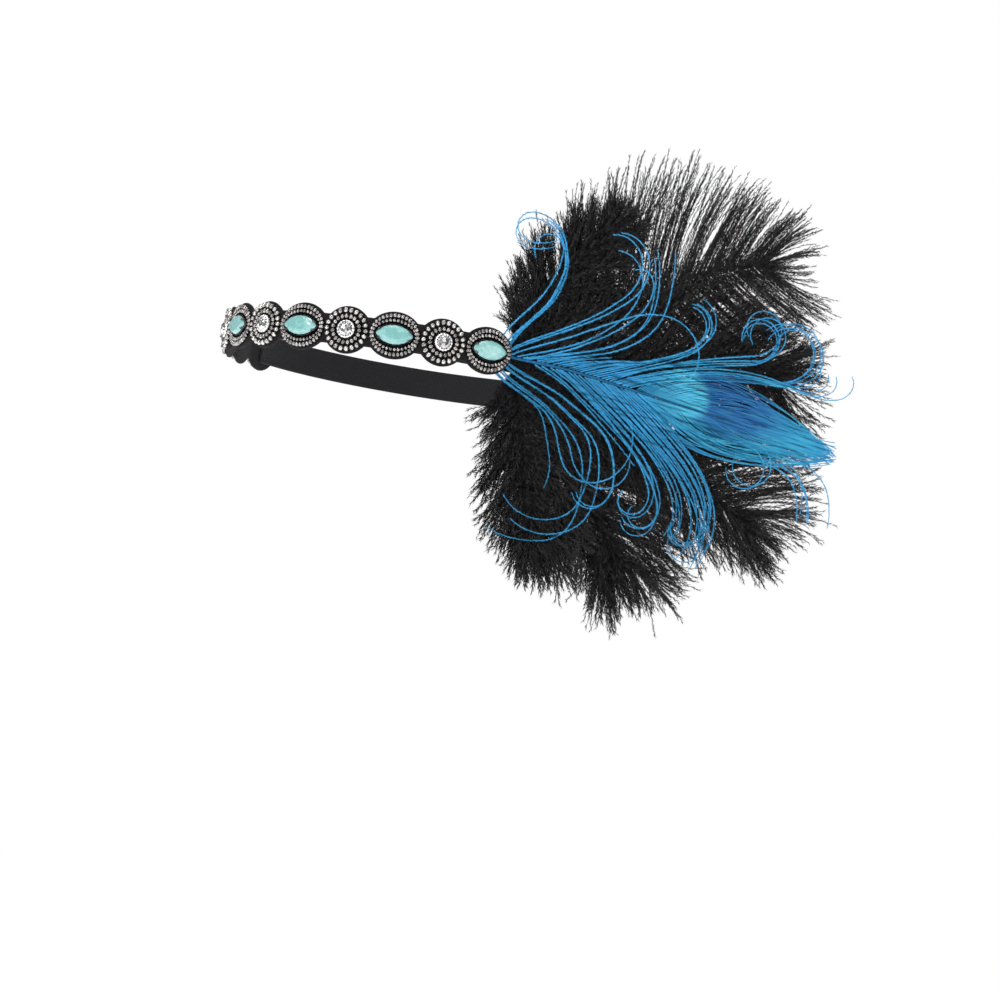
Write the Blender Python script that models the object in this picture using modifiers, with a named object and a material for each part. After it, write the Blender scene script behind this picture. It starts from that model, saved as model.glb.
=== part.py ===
"""Flapper headpiece: a beaded felt band with an elastic back and a spray of feathers.

Metres, +Z up. The origin is the middle of the head opening, in the band's mid plane.
The face looks along -Y, the wearer's left is +X, and the feathers spring from the left end.
"""
import bpy
import bmesh
import numpy as np
from math import cos, degrees, exp, hypot, pi, radians, sin, sqrt, tan
from mathutils import Vector

MM = 0.001

# The head's oval, on which the elastic lies.
HEAD_HALF_LENGTH = 96 * MM
HEAD_HALF_BREADTH = 80 * MM

# Layers of the band.
GAP = 0.3 * MM
ELASTIC_THICK = 1.2 * MM
ELASTIC_HALF_HEIGHT = 7.0 * MM
ELASTIC_TUCK_LEFT = 25 * MM
ELASTIC_TUCK_RIGHT = 14 * MM
FELT_THICK = 1.6 * MM
FELT_MARGIN = 1.0 * MM
FELT_VALLEY_SHARE = 0.62

# Motifs along the band: pointed stones and round crystals, in turn, 11 in all.
MOTIFS = 11
MOTIF_GAP = 0.25 * MM
NAVETTE_ROWS = (11.0 * MM, 9.6 * MM)
ROSETTE_RADIUS = 9.65 * MM
PITCH = NAVETTE_ROWS[0] + ROSETTE_RADIUS + MOTIF_GAP
NAVETTE_STONE = (8.2 * MM, 4.3 * MM)
STONE_TOP = 3.4 * MM
SETTING_WALL = 0.3 * MM
SETTING_REACH = GAP + 1.85 * SETTING_WALL
CRYSTAL_RADIUS = 3.05 * MM
CRYSTAL_TOP = 3.5 * MM
CUP_WALL = 0.8 * MM
NAVETTE_BEAD = 1.9 * MM
ROSETTE_BEAD = 2.2 * MM

# Feathers. Lengths in the feather tables are percent of the spray's radius.
SPRAY_RADIUS = 100 * MM
PERCENT = SPRAY_RADIUS / 100
LAYER = 2.2 * MM
RISE_LENGTH = 24 * MM
FLARE = radians(15)
FLARE_BEND = 8 * MM
QUILL_THICK = 0.7 * MM
QUILL_HALF_WIDE = 0.65 * MM
HERL_THICK = 0.6 * MM
SPRAY_GAP = 0.6 * MM

BAND_END = (MOTIFS // 2) * PITCH + NAVETTE_ROWS[0] + FELT_MARGIN
FELT_REACH = BAND_END - 0.5 * MM
FELT_BASE = ELASTIC_THICK + GAP
FELT_LIFT = QUILL_THICK + HERL_THICK + GAP + SPRAY_GAP
FELT_LIFT_LENGTH = 48 * MM

COLOURS = {
    "felt": ((0.012, 0.009, 0.012), 0.95, 0.0),
    "elastic": ((0.02, 0.02, 0.022), 0.8, 0.0),
    "stone": ((0.16, 0.62, 0.56), 0.12, 0.0),
    "crystal": ((0.86, 0.88, 0.9), 0.05, 0.2),
    "silver": ((0.62, 0.62, 0.64), 0.25, 1.0),
    "gunmetal": ((0.2, 0.19, 0.2), 0.3, 1.0),
    "beads": ((0.3, 0.29, 0.3), 0.25, 0.9),
    "ostrich": ((0.01, 0.01, 0.012), 0.8, 0.0),
    "peacock": ((0.03, 0.36, 0.72), 0.55, 0.0),
}


def clear_scene():
    for ob in list(bpy.data.objects):
        bpy.data.objects.remove(ob, do_unlink=True)


def material(name):
    found = bpy.data.materials.get(name)
    if found:
        return found
    colour, rough, metal = COLOURS[name]
    mat = bpy.data.materials.new(name)
    mat.use_nodes = True
    shader = mat.node_tree.nodes["Principled BSDF"]
    shader.inputs["Base Color"].default_value = (*colour, 1.0)
    shader.inputs["Roughness"].default_value = rough
    shader.inputs["Metallic"].default_value = metal
    return mat


def collection(name):
    made = bpy.data.collections.new(name)
    bpy.context.scene.collection.children.link(made)
    return made


def add_object(bm, name, mat, group, smooth=False):
    """Turn a bmesh into a named object of the headpiece."""
    mesh = bpy.data.meshes.new(name)
    bm.to_mesh(mesh)
    bm.free()
    mesh.materials.append(material(mat))
    if smooth:
        mesh.shade_smooth()
        mesh.set_sharp_from_angle(angle=radians(35))
    ob = bpy.data.objects.new(name, mesh)
    group.objects.link(ob)
    return ob


def solidify(ob, thickness, offset):
    mod = ob.modifiers.new("thickness", "SOLIDIFY")
    mod.thickness = thickness
    mod.offset = offset
    return mod


def smooth(x):
    x = min(1.0, max(0.0, x))
    return x * x * (3 - 2 * x)


class HeadLine:
    """The line of the felt's inner side round the head, measured from mid forehead."""

    def __init__(self, out):
        turn = np.linspace(-pi, pi, 7201)
        x = HEAD_HALF_BREADTH * np.sin(turn)
        y = -HEAD_HALF_LENGTH * np.cos(turn)
        nx = HEAD_HALF_LENGTH * np.sin(turn)
        ny = -HEAD_HALF_BREADTH * np.cos(turn)
        size = np.hypot(nx, ny)
        self.nx, self.ny = nx / size, ny / size
        self.x, self.y = x, y
        step = np.hypot(np.diff(x + out * self.nx), np.diff(y + out * self.ny))
        s = np.concatenate([[0.0], np.cumsum(step)])
        self.s = s - np.interp(0.0, turn, s)
        self.around = float(s[-1])

    def frame(self, s):
        """The oval's point at length s, its outward normal and its direction."""
        s = (s + self.around / 2) % self.around - self.around / 2
        spot = Vector((np.interp(s, self.s, self.x), np.interp(s, self.s, self.y), 0))
        out = Vector((np.interp(s, self.s, self.nx), np.interp(s, self.s, self.ny), 0)).normalized()
        return spot, out, Vector((-out.y, out.x, 0))

    def at(self, s, up, out):
        spot, normal, along = self.frame(s)
        return spot + normal * out + Vector((0, 0, up))


LINE = HeadLine(FELT_BASE)


def felt_out(s):
    """How far the felt's inner side stands off the head's oval, more over the quills."""
    start = BAND_END - ELASTIC_TUCK_LEFT - FELT_LIFT_LENGTH
    return FELT_BASE + FELT_LIFT * smooth((s - start) / FELT_LIFT_LENGTH)


def motif_sizes(k):
    """Whether motif k holds a pointed stone, and the half sizes of its bead rows."""
    pointed = k % 2 == 0
    return pointed, NAVETTE_ROWS if pointed else (ROSETTE_RADIUS, ROSETTE_RADIUS)


def motif_place(k):
    return (k - MOTIFS // 2) * PITCH


def felt_half_height(s):
    tall = FELT_VALLEY_SHARE * (ROSETTE_RADIUS + FELT_MARGIN)
    for k in range(MOTIFS):
        pointed, (half_long, half_high) = motif_sizes(k)
        x = (s - motif_place(k)) / (half_long + FELT_MARGIN)
        if abs(x) < 1:
            bump = (half_high + FELT_MARGIN) * sqrt(1 - x * x)
            ends = k in (0, MOTIFS - 1) and (s - motif_place(k)) * (k - 5) > 0
            tall = bump if ends else max(tall, bump)
    return tall


def felt_band(group):
    """Scalloped strip with a bulge at every motif and a rounded end."""
    count = 96
    bm = bmesh.new()
    rows = []
    for i in range(count + 1):
        s = -FELT_REACH + 2 * FELT_REACH * i / count
        tall = felt_half_height(s)
        rows.append([bm.verts.new(LINE.at(s, tall * side, felt_out(s))) for side in (-1, 1)])
    for a, b in zip(rows, rows[1:]):
        bm.faces.new((a[0], b[0], b[1], a[1]))
    ob = add_object(bm, "felt_band", "felt", group)
    solidify(ob, FELT_THICK, 1.0)


def elastic_band(group):
    """Plain elastic round the back, its ends tucked behind the felt's ends."""
    start = BAND_END - ELASTIC_TUCK_LEFT
    stop = LINE.around - (BAND_END - ELASTIC_TUCK_RIGHT)
    count = 54
    bm = bmesh.new()
    rows = []
    for i in range(count + 1):
        s = start + (stop - start) * i / count
        rows.append([bm.verts.new(LINE.at(s, ELASTIC_HALF_HEIGHT * side, 0)) for side in (-1, 1)])
    for a, b in zip(rows, rows[1:]):
        bm.faces.new((a[0], b[0], b[1], a[1]))
    ob = add_object(bm, "elastic_band", "elastic", group)
    solidify(ob, ELASTIC_THICK, 1.0)


def oval(half_long, half_high, count, point=0.0, turn=0.0):
    """Points round an oval; point above 0 draws its ends to a tip."""
    for j in range(count):
        angle = 2 * pi * (j + turn) / count
        lean = abs(sin(angle)) ** point
        yield half_long * cos(angle), half_high * sin(angle) * lean


def stack(bm, rings, place, facets=False):
    """Join rings of points from the base up and close both ends; facets cross-braces them."""
    made = [[bm.verts.new(place(*p)) for p in ring] for ring in rings]
    count = len(made[0])
    for low, high in zip(made, made[1:]):
        for j in range(count):
            k = (j + 1) % count
            if facets:
                bm.faces.new((low[j], low[k], high[j]))
                bm.faces.new((high[j], low[k], high[k]))
            else:
                bm.faces.new((low[j], low[k], high[k], high[j]))
    bm.faces.new(list(reversed(made[0])))
    bm.faces.new(made[-1])


def seat(k):
    """Middle of motif k's seat just off the felt, with its outward and along directions."""
    s = motif_place(k)
    spot, out, along = LINE.frame(s)
    return spot + out * (felt_out(s) + FELT_THICK + GAP), out, along


def flat_place(k):
    """Seat of a hard piece on motif k: a flat base that touches the felt at its middle."""
    base, out, along = seat(k)

    def place(u, v, w):
        return base + along * u + Vector((0, 0, v)) + out * w
    return place


def bent_place(k):
    """Seat of a soft piece on motif k, which follows the felt."""
    s = motif_place(k)

    def place(u, v, w):
        return LINE.at(s + u, v, felt_out(s + u) + FELT_THICK + GAP + w)
    return place


def navette_stone(k, number, group):
    """Pointed oval stone with a low back, a girdle, a faceted crown and a table."""
    long, high = NAVETTE_STONE
    count = 12
    # shares of the stone's length, height and top, and the ring's turn in steps
    levels = ((0.80, 0.70, 0.26, 0), (1.0, 1.0, 0.50, 0), (1.0, 1.0, 0.59, 0),
              (0.84, 0.80, 0.85, 0.5), (0.66, 0.58, 1.0, 1))
    rings = []
    for a, b, top, turn in levels:
        rings.append([(u, v, top * STONE_TOP) for u, v in oval(long * a, high * b, count, 0.45, turn)])
    bm = bmesh.new()
    stack(bm, rings, flat_place(k), facets=True)
    bmesh.ops.recalc_face_normals(bm, faces=bm.faces)
    add_object(bm, "navette_stone_%d" % number, "stone", group)


def navette_setting(k, number, group):
    """Cup of dark metal with four claws that lean over the stone near its tips."""
    long, high = NAVETTE_STONE
    count = 20
    claws = (2, 8, 12, 18)
    # wall's share out from its inner side and share of the stone's top, then both at a claw
    profile = ((0, 0, 0, 0), (1, 0.15, 1.5, 0.18), (0.85, 0.44, 1.85, 0.79),
               (0.35, 0.51, -1.5, 0.93), (0, 0.47, 0, 0.56), (-2, 0.15, -2, 0.15))
    rings = []
    for wall, level, claw_wall, claw_level in profile:
        wide, claw = [list(oval(long + GAP + share * SETTING_WALL, high + GAP + share * SETTING_WALL,
                                count, 0.45)) for share in (wall, claw_wall)]
        ring = []
        for j in range(count):
            u, v = claw[j] if j in claws else wide[j]
            ring.append((u, v, (claw_level if j in claws else level) * STONE_TOP))
        rings.append(ring)
    bm = bmesh.new()
    stack(bm, rings, flat_place(k))
    bmesh.ops.recalc_face_normals(bm, faces=bm.faces)
    add_object(bm, "navette_setting_%d" % number, "gunmetal", group)


def turned(name, profile, mat, k, group):
    """Turn a profile of (radius, level) about the motif's own axis."""
    bm = bmesh.new()
    verts = [bm.verts.new((radius, 0, level)) for radius, level in profile]
    for a, b in zip(verts, verts[1:]):
        bm.edges.new((a, b))
    ob = add_object(bm, name, mat, group)
    mod = ob.modifiers.new("turn", "SCREW")
    mod.steps = mod.render_steps = 16
    mod.use_merge_vertices = True
    mod.merge_threshold = 0.01 * MM
    mod.use_smooth_shade = False
    base, out, along = seat(k)
    ob.rotation_mode = "QUATERNION"
    ob.rotation_quaternion = out.to_track_quat("Z", "Y")
    ob.location = base


def rosette_middle(k, number, group):
    """Round cut crystal in a flared silver cup."""
    # shares of the crystal's radius and top
    crystal = ((0, 1), (0.62, 1), (0.86, 0.86), (1, 0.66), (1, 0.57), (0.45, 0.26), (0, 0.26))
    turned("crystal_%d" % number,
           [(r * CRYSTAL_RADIUS, h * CRYSTAL_TOP) for r, h in crystal], "crystal", k, group)
    # share of the cup's wall out from its inner side, and share of the crystal's top
    cup = ((-1.25, 0.14), (0, 0.54), (0.31, 0.6), (0.81, 0.46), (1, 0.26), (0.38, 0))
    profile = [(CRYSTAL_RADIUS + GAP + r * CUP_WALL, h * CRYSTAL_TOP) for r, h in cup]
    floor = profile[0][1]
    turned("crystal_setting_%d" % number, [(0, floor)] + profile + [(0, 0)], "silver", k, group)


def bead_rows(k, group):
    """One solid for a motif's two rows of seed beads: a ring with two rounded crests."""
    pointed, outer = motif_sizes(k)
    if pointed:
        inner = (NAVETTE_STONE[0] + SETTING_REACH + GAP / 3, NAVETTE_STONE[1] + SETTING_REACH + GAP)
        crest = NAVETTE_BEAD
    else:
        inner = (CRYSTAL_RADIUS + CUP_WALL + 2 * GAP,) * 2
        crest = ROSETTE_BEAD
    count = 18
    # share across from the inner to the outer edge, share of the crest
    profile = ((0, 0), (0.06, 0.8), (0.28, 1), (0.5, 0.6), (0.76, 1), (1, 0.4))
    place = bent_place(k)
    bm = bmesh.new()
    inside = list(oval(*inner, count, 0.25 if pointed else 0.0))
    outside = list(oval(*outer, count))
    rings = []
    for share, level in profile:
        ring = []
        for (a, b), (c, d) in zip(inside, outside):
            ring.append(bm.verts.new(place(a + (c - a) * share, b + (d - b) * share, level * crest)))
        rings.append(ring)
    for low, high in zip(rings, rings[1:] + rings[:1]):
        for j in range(count):
            n = (j + 1) % count
            bm.faces.new((low[j], low[n], high[n], high[j]))
    bmesh.ops.recalc_face_normals(bm, faces=bm.faces)
    add_object(bm, "bead_rows_%d" % (k + 1), "beads", group)


def felt_clear(p, q):
    """How far a point of the spray lies outside the felt's left end, 0 or less behind it."""
    long = NAVETTE_ROWS[0] + FELT_MARGIN
    high = NAVETTE_ROWS[1] + FELT_MARGIN
    return (hypot((p + long) / (long + 2 * GAP), q / (high + 2 * GAP)) - 1) * long


def spray(p, q, level, base):
    """Point of the spray: p back from the band's end, q up, level outward once clear."""
    rise = smooth((felt_clear(p, q) - GAP) / RISE_LENGTH)
    back = max(0.0, p)
    flare = tan(FLARE) * (back - FLARE_BEND * (1 - exp(-back / FLARE_BEND)))
    out = ELASTIC_THICK + base + level * rise + flare
    if p < 0:
        return LINE.at(BAND_END + p, q, out)
    spot, normal, along = LINE.frame(BAND_END)
    return spot + normal * out + along * p + Vector((0, 0, q))


def walk(start, heading, runs, step):
    """Points, headings and lengths along arcs; a run is percent of the spray and a turn."""
    p, q = start
    angle = radians(heading)
    points = [(p, q, angle, 0.0)]
    gone = 0.0
    for length, turn in runs:
        length *= PERCENT
        count = max(1, round(max(length / step, abs(turn) / 30)))
        for i in range(count):
            angle += radians(turn) / count / 2
            p += length / count * cos(angle)
            q += length / count * sin(angle)
            angle += radians(turn) / count / 2
            gone += length / count
            points.append((p, q, angle, gone))
    return points


class Shaft:
    """A feather's shaft: a bent line in the spray, with its half width and its seat."""

    def __init__(self, start, heading, runs, half_wide, base):
        self.points = np.array(walk(start, heading, runs, 1 * MM))
        self.length = float(self.points[-1, 3])
        self.half_wide = half_wide
        self.base = base

    def at(self, r):
        return [float(np.interp(r, self.points[:, 3], self.points[:, c])) for c in range(3)]

    def heading(self, r):
        return degrees(self.at(r)[2])

    def edge(self, r, side):
        p, q, angle = self.at(r)
        half = self.half_wide * (1 - 0.6 * r / self.length) * side
        return p - sin(angle) * half, q + cos(angle) * half


def comb(name, shaft, level, strips, thickness, mat, group):
    """One sheet: the shaft and the strips that leave its two edges, then made thick.

    A strip is its side, the shaft's stretch that it leaves, and its cross pairs, each
    two (p, q) points and a level above the feather's own.
    """
    stops = {0.0, shaft.length}
    for side, start, stop, pairs in strips:
        stops |= {start, stop}
    stops = sorted(stops)
    filled = [stops[0]]
    for stop in stops[1:]:
        longest = (3 if stop < 30 * MM else 9) * MM
        first = filled[-1]
        count = max(1, round((stop - first) / longest))
        filled += [first + (stop - first) * i / count for i in range(1, count)] + [stop]
    bm = bmesh.new()
    edge = {}
    for side in (-1, 1):
        for r in filled:
            edge[side, r] = bm.verts.new(spray(*shaft.edge(r, side), level, shaft.base))
    for a, b in zip(filled, filled[1:]):
        bm.faces.new((edge[-1, a], edge[-1, b], edge[1, b], edge[1, a]))
    for side, start, stop, pairs in strips:
        near = [edge[side, r] for r in filled if start <= r <= stop]
        for a, b, extra in pairs:
            ends = [bm.verts.new(spray(*spot, level + extra, shaft.base)) for spot in (a, b)]
            loop = near + [ends[1], ends[0]]
            bm.faces.new(loop if side > 0 else list(reversed(loop)))
            near = ends
    bmesh.ops.triangulate(bm, faces=bm.faces)
    ob = add_object(bm, name, mat, group)
    solidify(ob, thickness, 0.0)
    ob.modifiers.new("flat faces", "TRIANGULATE")


def strip(shaft, side, start, stop, heading, runs, wide, tip, lift, step, curl=0.0):
    """Cross pairs of one strip that leaves the shaft and tapers from wide to tip."""
    line = walk(shaft.edge((start + stop) / 2, side), heading, runs, step)
    length = line[-1][3]
    pairs = []
    for p, q, angle, gone in line[1:]:
        half = (wide + (tip - wide) * (gone / length) ** 1.5) / 2 * side
        back = (p - sin(angle) * half, q + cos(angle) * half)
        front = (p + sin(angle) * half, q - cos(angle) * half)
        pairs.append((back, front, lift * smooth(gone / (16 * MM)) + curl * (gone / length) ** 2))
    return side, round(start, 6), round(stop, 6), pairs


# name, quill's height as a share of the elastic's, launch, runs (percent, turn), layer,
# lock lengths in percent at foot, mid and tip, the locks' angle to the shaft at foot and
# tip, and the share of those lengths on the lower side
PLUMES = (
    ("ostrich_plume_1", 0.66, 64, ((24, 0), (38, -16)), -0.2, 30, 34, 26, 62, 28, 1.0),
    ("ostrich_plume_2", 0.40, 37, ((50, -8), (46, -6), (28, -4)), -1.2, 36, 62, 34, 78, 30, 0.76),
    ("ostrich_plume_3", 0.14, 6, ((70, 2), (48, -8)), 0.8, 36, 46, 28, 62, 24, 1.0),
    ("ostrich_plume_4", -0.12, -18, ((60, -8), (62, -8)), 1.8, 32, 46, 32, 58, 24, 1.0),
    ("ostrich_plume_5", -0.38, -46, ((50, -4), (46, -14)), -2.2, 36, 44, 32, 56, 24, 1.0),
    ("ostrich_plume_6", -0.64, -80, ((30, 0), (38, 6)), 2.8, 32, 38, 30, 56, 26, 1.0),
)
LOCKS = 8
LOCK_SHARE = 0.8
LOCK_LIFT = 1.0 * MM
LOCK_TIP = 1.8 * MM
QUILL_TUCK = 12.0 * MM
QUILL_BEND = 7.0 * MM
QUILL_BARE = 8.0 * MM


def ostrich_plume(row, group):
    """Fluffy plume: a shaft with broad locks of barbs on both sides."""
    name, up, launch, runs, layer, foot, mid, tip, lean_foot, lean_tip, lower = row
    base = GAP + QUILL_THICK / 2
    root = ((QUILL_TUCK / PERCENT, 0), (QUILL_BEND / PERCENT, launch))
    start = (-QUILL_TUCK, up * ELASTIC_HALF_HEIGHT)
    shaft = Shaft(start, 0, root + runs, QUILL_HALF_WIDE, base)
    bare = QUILL_TUCK + QUILL_BEND + QUILL_BARE
    span = shaft.length - bare
    strips = []
    for side in (-1, 1):
        for i in range(LOCKS):
            a = bare + span * i / LOCKS
            b = bare + span * (i + 1) / LOCKS
            share = (i + 0.5) / LOCKS
            long = foot + (mid - foot) * smooth(share / 0.45) + (tip - mid) * smooth((share - 0.55) / 0.45)
            long *= lower if side < 0 else 1
            lean = lean_foot + (lean_tip - lean_foot) * share
            heading = shaft.heading((a + b) / 2) + side * lean
            wide = (b - a) * sin(radians(lean)) * LOCK_SHARE
            bends = ((long / 2, -side * 8), (long / 2, -side * 14))
            strips.append(strip(shaft, side, a, b, heading, bends, wide, LOCK_TIP,
                                LOCK_LIFT * (i % 2), long * PERCENT / 3))
    comb(name, shaft, layer * LAYER, strips, QUILL_THICK, "ostrich", group)


# The peacock feather's strips, from the root on, in percent of the spray's radius: side,
# place from the band's end, foot, heading, runs (percent, turn), width at foot and tip,
# millimetres above the feather
CURLED_HERLS = (
    (1, -9.0, 1.4, 62, ((34, 4), (16, 22), (14, 62), (6, 40)), 1.3, 0.9, 1.6),
    (1, -6.0, 1.4, 56, ((40, 8), (14, 40), (14, 45)), 1.2, 0.9, 0.6),
    (1, -3.0, 1.4, 36, ((34, -6), (24, 12), (16, 40), (16, 62), (10, 45)), 1.7, 1.0, 2.4),
    (1, 0.0, 1.4, 28, ((50, -4), (16, -26), (20, -62), (16, -60)), 1.2, 0.8, 3.6),
    (1, 3.0, 1.4, 20, ((24, 8), (20, 18), (18, 38), (12, 50), (10, 50)), 1.3, 0.9, 1.2),
    (1, 6.0, 2.0, 14, ((28, 4), (20, 22), (18, 40), (24, 20)), 2.4, 1.2, 1.6),
    (-1, -21.0, 1.4, -31, ((34, -2), (14, -38), (16, -8), (14, -38)), 1.3, 0.8, -1.2),
    (-1, -17.0, 1.4, -34, ((36, -6), (14, -34), (10, 10), (12, 60), (14, 50), (26, 76)), 1.3, 0.8, 2.6),
    (-1, -13.0, 1.4, -32, ((44, -6), (18, -38), (22, -24), (18, -60), (26, -30)), 1.3, 0.8, -0.4),
    (-1, -9.0, 1.4, -30, ((50, -6), (16, -48), (22, -26), (14, -46), (30, -66)), 1.5, 0.8, 0.6),
    (-1, -5.0, 1.4, -28, ((48, -4), (16, -40), (14, -24), (10, -40), (18, -130)), 1.5, 0.9, 1.8),
)
VANE_STRIPS = (
    (1, 11.0, 5.0, 22, ((10, -6), (10, -8)), 3.0, 1.0, 0),
    (1, 16.5, 6.0, 22, ((12, -6), (12, -8)), 3.2, 1.0, 0),
    (1, 23.0, 7.0, 22, ((16, -6), (14, -8)), 3.4, 1.2, 0),
    (1, 30.5, 7.5, 22, ((34, 0), (12, 8), (12, 40), (10, 60), (8, 50)), 3.4, 1.0, 0),
    (1, 38.5, 7.5, 25, ((34, -10), (32, -6), (13, 48), (12, 80), (12, 80), (10, 70)), 3.6, 1.0, 0.6),
    (1, 46.5, 7.5, 24, ((30, -16), (40, -8), (18, 44), (16, 76), (14, 60), (12, 50)), 3.8, 1.0, 1),
    (-1, 10.0, 5.0, -32, ((30, -4), (18, -6), (16, -10)), 2.0, 1.0, 0),
    (-1, 16.0, 6.0, -32, ((40, -8), (20, -12), (14, -24), (12, -44), (19, -130)), 2.4, 1.0, 0.4),
    (-1, 23.0, 7.0, -32, ((46, -8), (22, -14), (16, -30), (12, -50)), 3.2, 1.2, 0),
    (-1, 31.0, 7.5, -34, ((46, -8), (20, -14), (18, -30), (14, -36)), 4.6, 1.6, -0.4),
    (-1, 39.5, 7.5, -34, ((42, -8), (20, -16), (18, -30), (16, -34)), 4.6, 1.6, 0),
    (-1, 48.0, 7.5, -34, ((36, -8), (18, -18), (16, -32), (14, -50), (18, -140)), 3.6, 1.0, 1.2),
    (-1, 56.0, 7.5, -34, ((34, 12), (26, 26), (16, -24), (14, -50), (14, -26)), 4.4, 1.2, 1.6),
)
# side of the eye, where it starts on the shaft and the share of its strips' length
EYE_SIDES = ((1, 56.0, 1.0), (-1, 63.5, 0.9))
EYE_STRIPS = 7
EYE_STRIP_LENGTH = 50
EYE_SHARE = 0.8
EYE_TIP = 0.9
EYE_LIFT = 0.8 * MM
VANE_SHARE = 0.9
CURL_RISE = 1.6 * MM
PEACOCK_RUNS = ((24, -3), (36, -1), (56, 0))
PEACOCK_LAUNCH = -4
PEACOCK_TUCK = ELASTIC_TUCK_LEFT - 2 * MM
PEACOCK_LAYER = 4.1
PEACOCK_HALF_WIDE = 1.0 * MM


def peacock_feather(group):
    """Dyed peacock feather: herringbone vane, eye, and herls that end in curls."""
    base = GAP + QUILL_THICK + SPRAY_GAP + HERL_THICK / 2
    runs = ((PEACOCK_TUCK / PERCENT, PEACOCK_LAUNCH),) + PEACOCK_RUNS
    shaft = Shaft((-PEACOCK_TUCK, 0.5 * MM), 0, runs, PEACOCK_HALF_WIDE, base)
    strips = []
    for side, place, foot, heading, runs, wide, tip, lift in CURLED_HERLS + VANE_STRIPS:
        a = PEACOCK_TUCK + place * PERCENT
        if place > 0:
            wide = max(tip, min(wide, VANE_SHARE * foot * sin(radians(abs(heading)))))
        strips.append(strip(shaft, side, a, a + foot * PERCENT, heading, runs, wide * PERCENT,
                            tip * PERCENT, lift * MM, 6 * MM, CURL_RISE))
    for side, place, reach in EYE_SIDES:
        start = PEACOCK_TUCK + place * PERCENT
        step = (shaft.length - start) / EYE_STRIPS
        for i in range(EYE_STRIPS):
            a = start + step * i
            share = (i + 0.5) / EYE_STRIPS
            lean = 46 - 34 * share
            long = reach * EYE_STRIP_LENGTH * (1 - 0.08 * share)
            heading = shaft.heading(a + step / 2) + side * lean
            bends = ((long / 2, -side * lean * 0.7), (long / 2, -side * (lean * 0.3 + 1)))
            wide = step * sin(radians(lean)) * EYE_SHARE
            strips.append(strip(shaft, side, a, a + step, heading, bends, wide, EYE_TIP * PERCENT,
                                EYE_LIFT * (i % 2), long * PERCENT / 3))
    comb("peacock_feather", shaft, PEACOCK_LAYER * LAYER, strips, HERL_THICK, "peacock", group)


def main():
    clear_scene()
    group = collection("flapper_headpiece")
    felt_band(group)
    elastic_band(group)
    navettes = rosettes = 0
    for k in range(MOTIFS):
        bead_rows(k, group)
        if motif_sizes(k)[0]:
            navettes += 1
            navette_setting(k, navettes, group)
            navette_stone(k, navettes, group)
        else:
            rosettes += 1
            rosette_middle(k, rosettes, group)
    for row in PLUMES:
        ostrich_plume(row, group)
    peacock_feather(group)


main()
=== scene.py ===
"""Flapper headpiece, dressed for rendering: beaded felt band, elastic back and feather spray.

Metres, +Z up. The origin is the middle of the head opening, in the band's mid plane.
The band's middle motif looks along -Y, and the feathers spring from the end at +X.
"""

from collections import namedtuple
from math import cos, degrees, exp, hypot, pi, radians, sin, sqrt, tan

import bmesh
import bpy
import numpy as np
from mathutils import Matrix, Vector


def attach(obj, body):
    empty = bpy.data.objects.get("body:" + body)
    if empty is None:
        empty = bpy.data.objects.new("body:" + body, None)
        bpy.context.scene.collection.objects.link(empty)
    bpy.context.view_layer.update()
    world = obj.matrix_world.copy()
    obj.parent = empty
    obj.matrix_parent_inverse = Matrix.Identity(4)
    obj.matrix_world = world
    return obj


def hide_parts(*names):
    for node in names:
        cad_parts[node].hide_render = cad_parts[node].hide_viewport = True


bl_info = {
    "name": "Flapper Headpiece",
    "version": (1, 0, 0),
    "blender": (4, 5, 0),
    "location": "3D View > Sidebar > Headpiece",
    "description": "Beaded felt band with cut stones, an elastic back and a spray of feathers",
    "category": "Add Mesh",
}

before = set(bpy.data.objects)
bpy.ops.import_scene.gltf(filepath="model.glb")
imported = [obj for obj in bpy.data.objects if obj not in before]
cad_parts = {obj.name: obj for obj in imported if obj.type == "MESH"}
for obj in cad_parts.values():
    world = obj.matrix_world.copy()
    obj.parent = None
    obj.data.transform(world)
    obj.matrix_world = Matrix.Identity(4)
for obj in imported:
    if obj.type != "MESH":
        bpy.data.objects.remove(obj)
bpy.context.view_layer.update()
BODY = "root"
MM = 0.001

# The oval on which the elastic lies, and the points on which its lengths are measured.
HEAD_HALF_LENGTH = 96 * MM
HEAD_HALF_BREADTH = 80 * MM
OVAL_POINTS = 7201

# Layers of the band.
GAP = 0.3 * MM
ELASTIC_THICK = 1.2 * MM
ELASTIC_HALF_HEIGHT = 7.0 * MM
ELASTIC_TUCK_LEFT = 25 * MM
ELASTIC_TUCK_RIGHT = 14 * MM
FELT_THICK = 1.6 * MM
FELT_MARGIN = 1.0 * MM
FELT_VALLEY_SHARE = 0.62
FELT_INSET = 0.02 * MM
RIB_GROOVE = 0.16 * MM
THREAD_PITCH = 1.1 * MM

# Stitches that hold the elastic to the felt: their pitch and thickness, and how far the rows
# stay in from the elastic's ends and from the felt's.
STITCH_PITCH = 2.4 * MM
STITCH_THICK = 0.45 * MM
STITCH_INSET = 2 * MM
STITCH_FELT_INSET = 3 * MM
STITCH_HEIGHT_SHARE = 0.8

# Motifs along the band: pointed stones and round crystals, in turn, 11 in all.
MOTIFS = 11
MOTIF_GAP = 0.25 * MM
NAVETTE_ROWS = (11.0 * MM, 9.6 * MM)
ROSETTE_RADIUS = 9.65 * MM
PITCH = NAVETTE_ROWS[0] + ROSETTE_RADIUS + MOTIF_GAP
NAVETTE_STONE = (8.2 * MM, 4.3 * MM)
NAVETTE_POINT = 0.45
STONE_TOP = 3.4 * MM
SETTING_WALL = 0.3 * MM
CRYSTAL_RADIUS = 3.05 * MM
CRYSTAL_TOP = 3.5 * MM
CUP_WALL = 0.8 * MM

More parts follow.
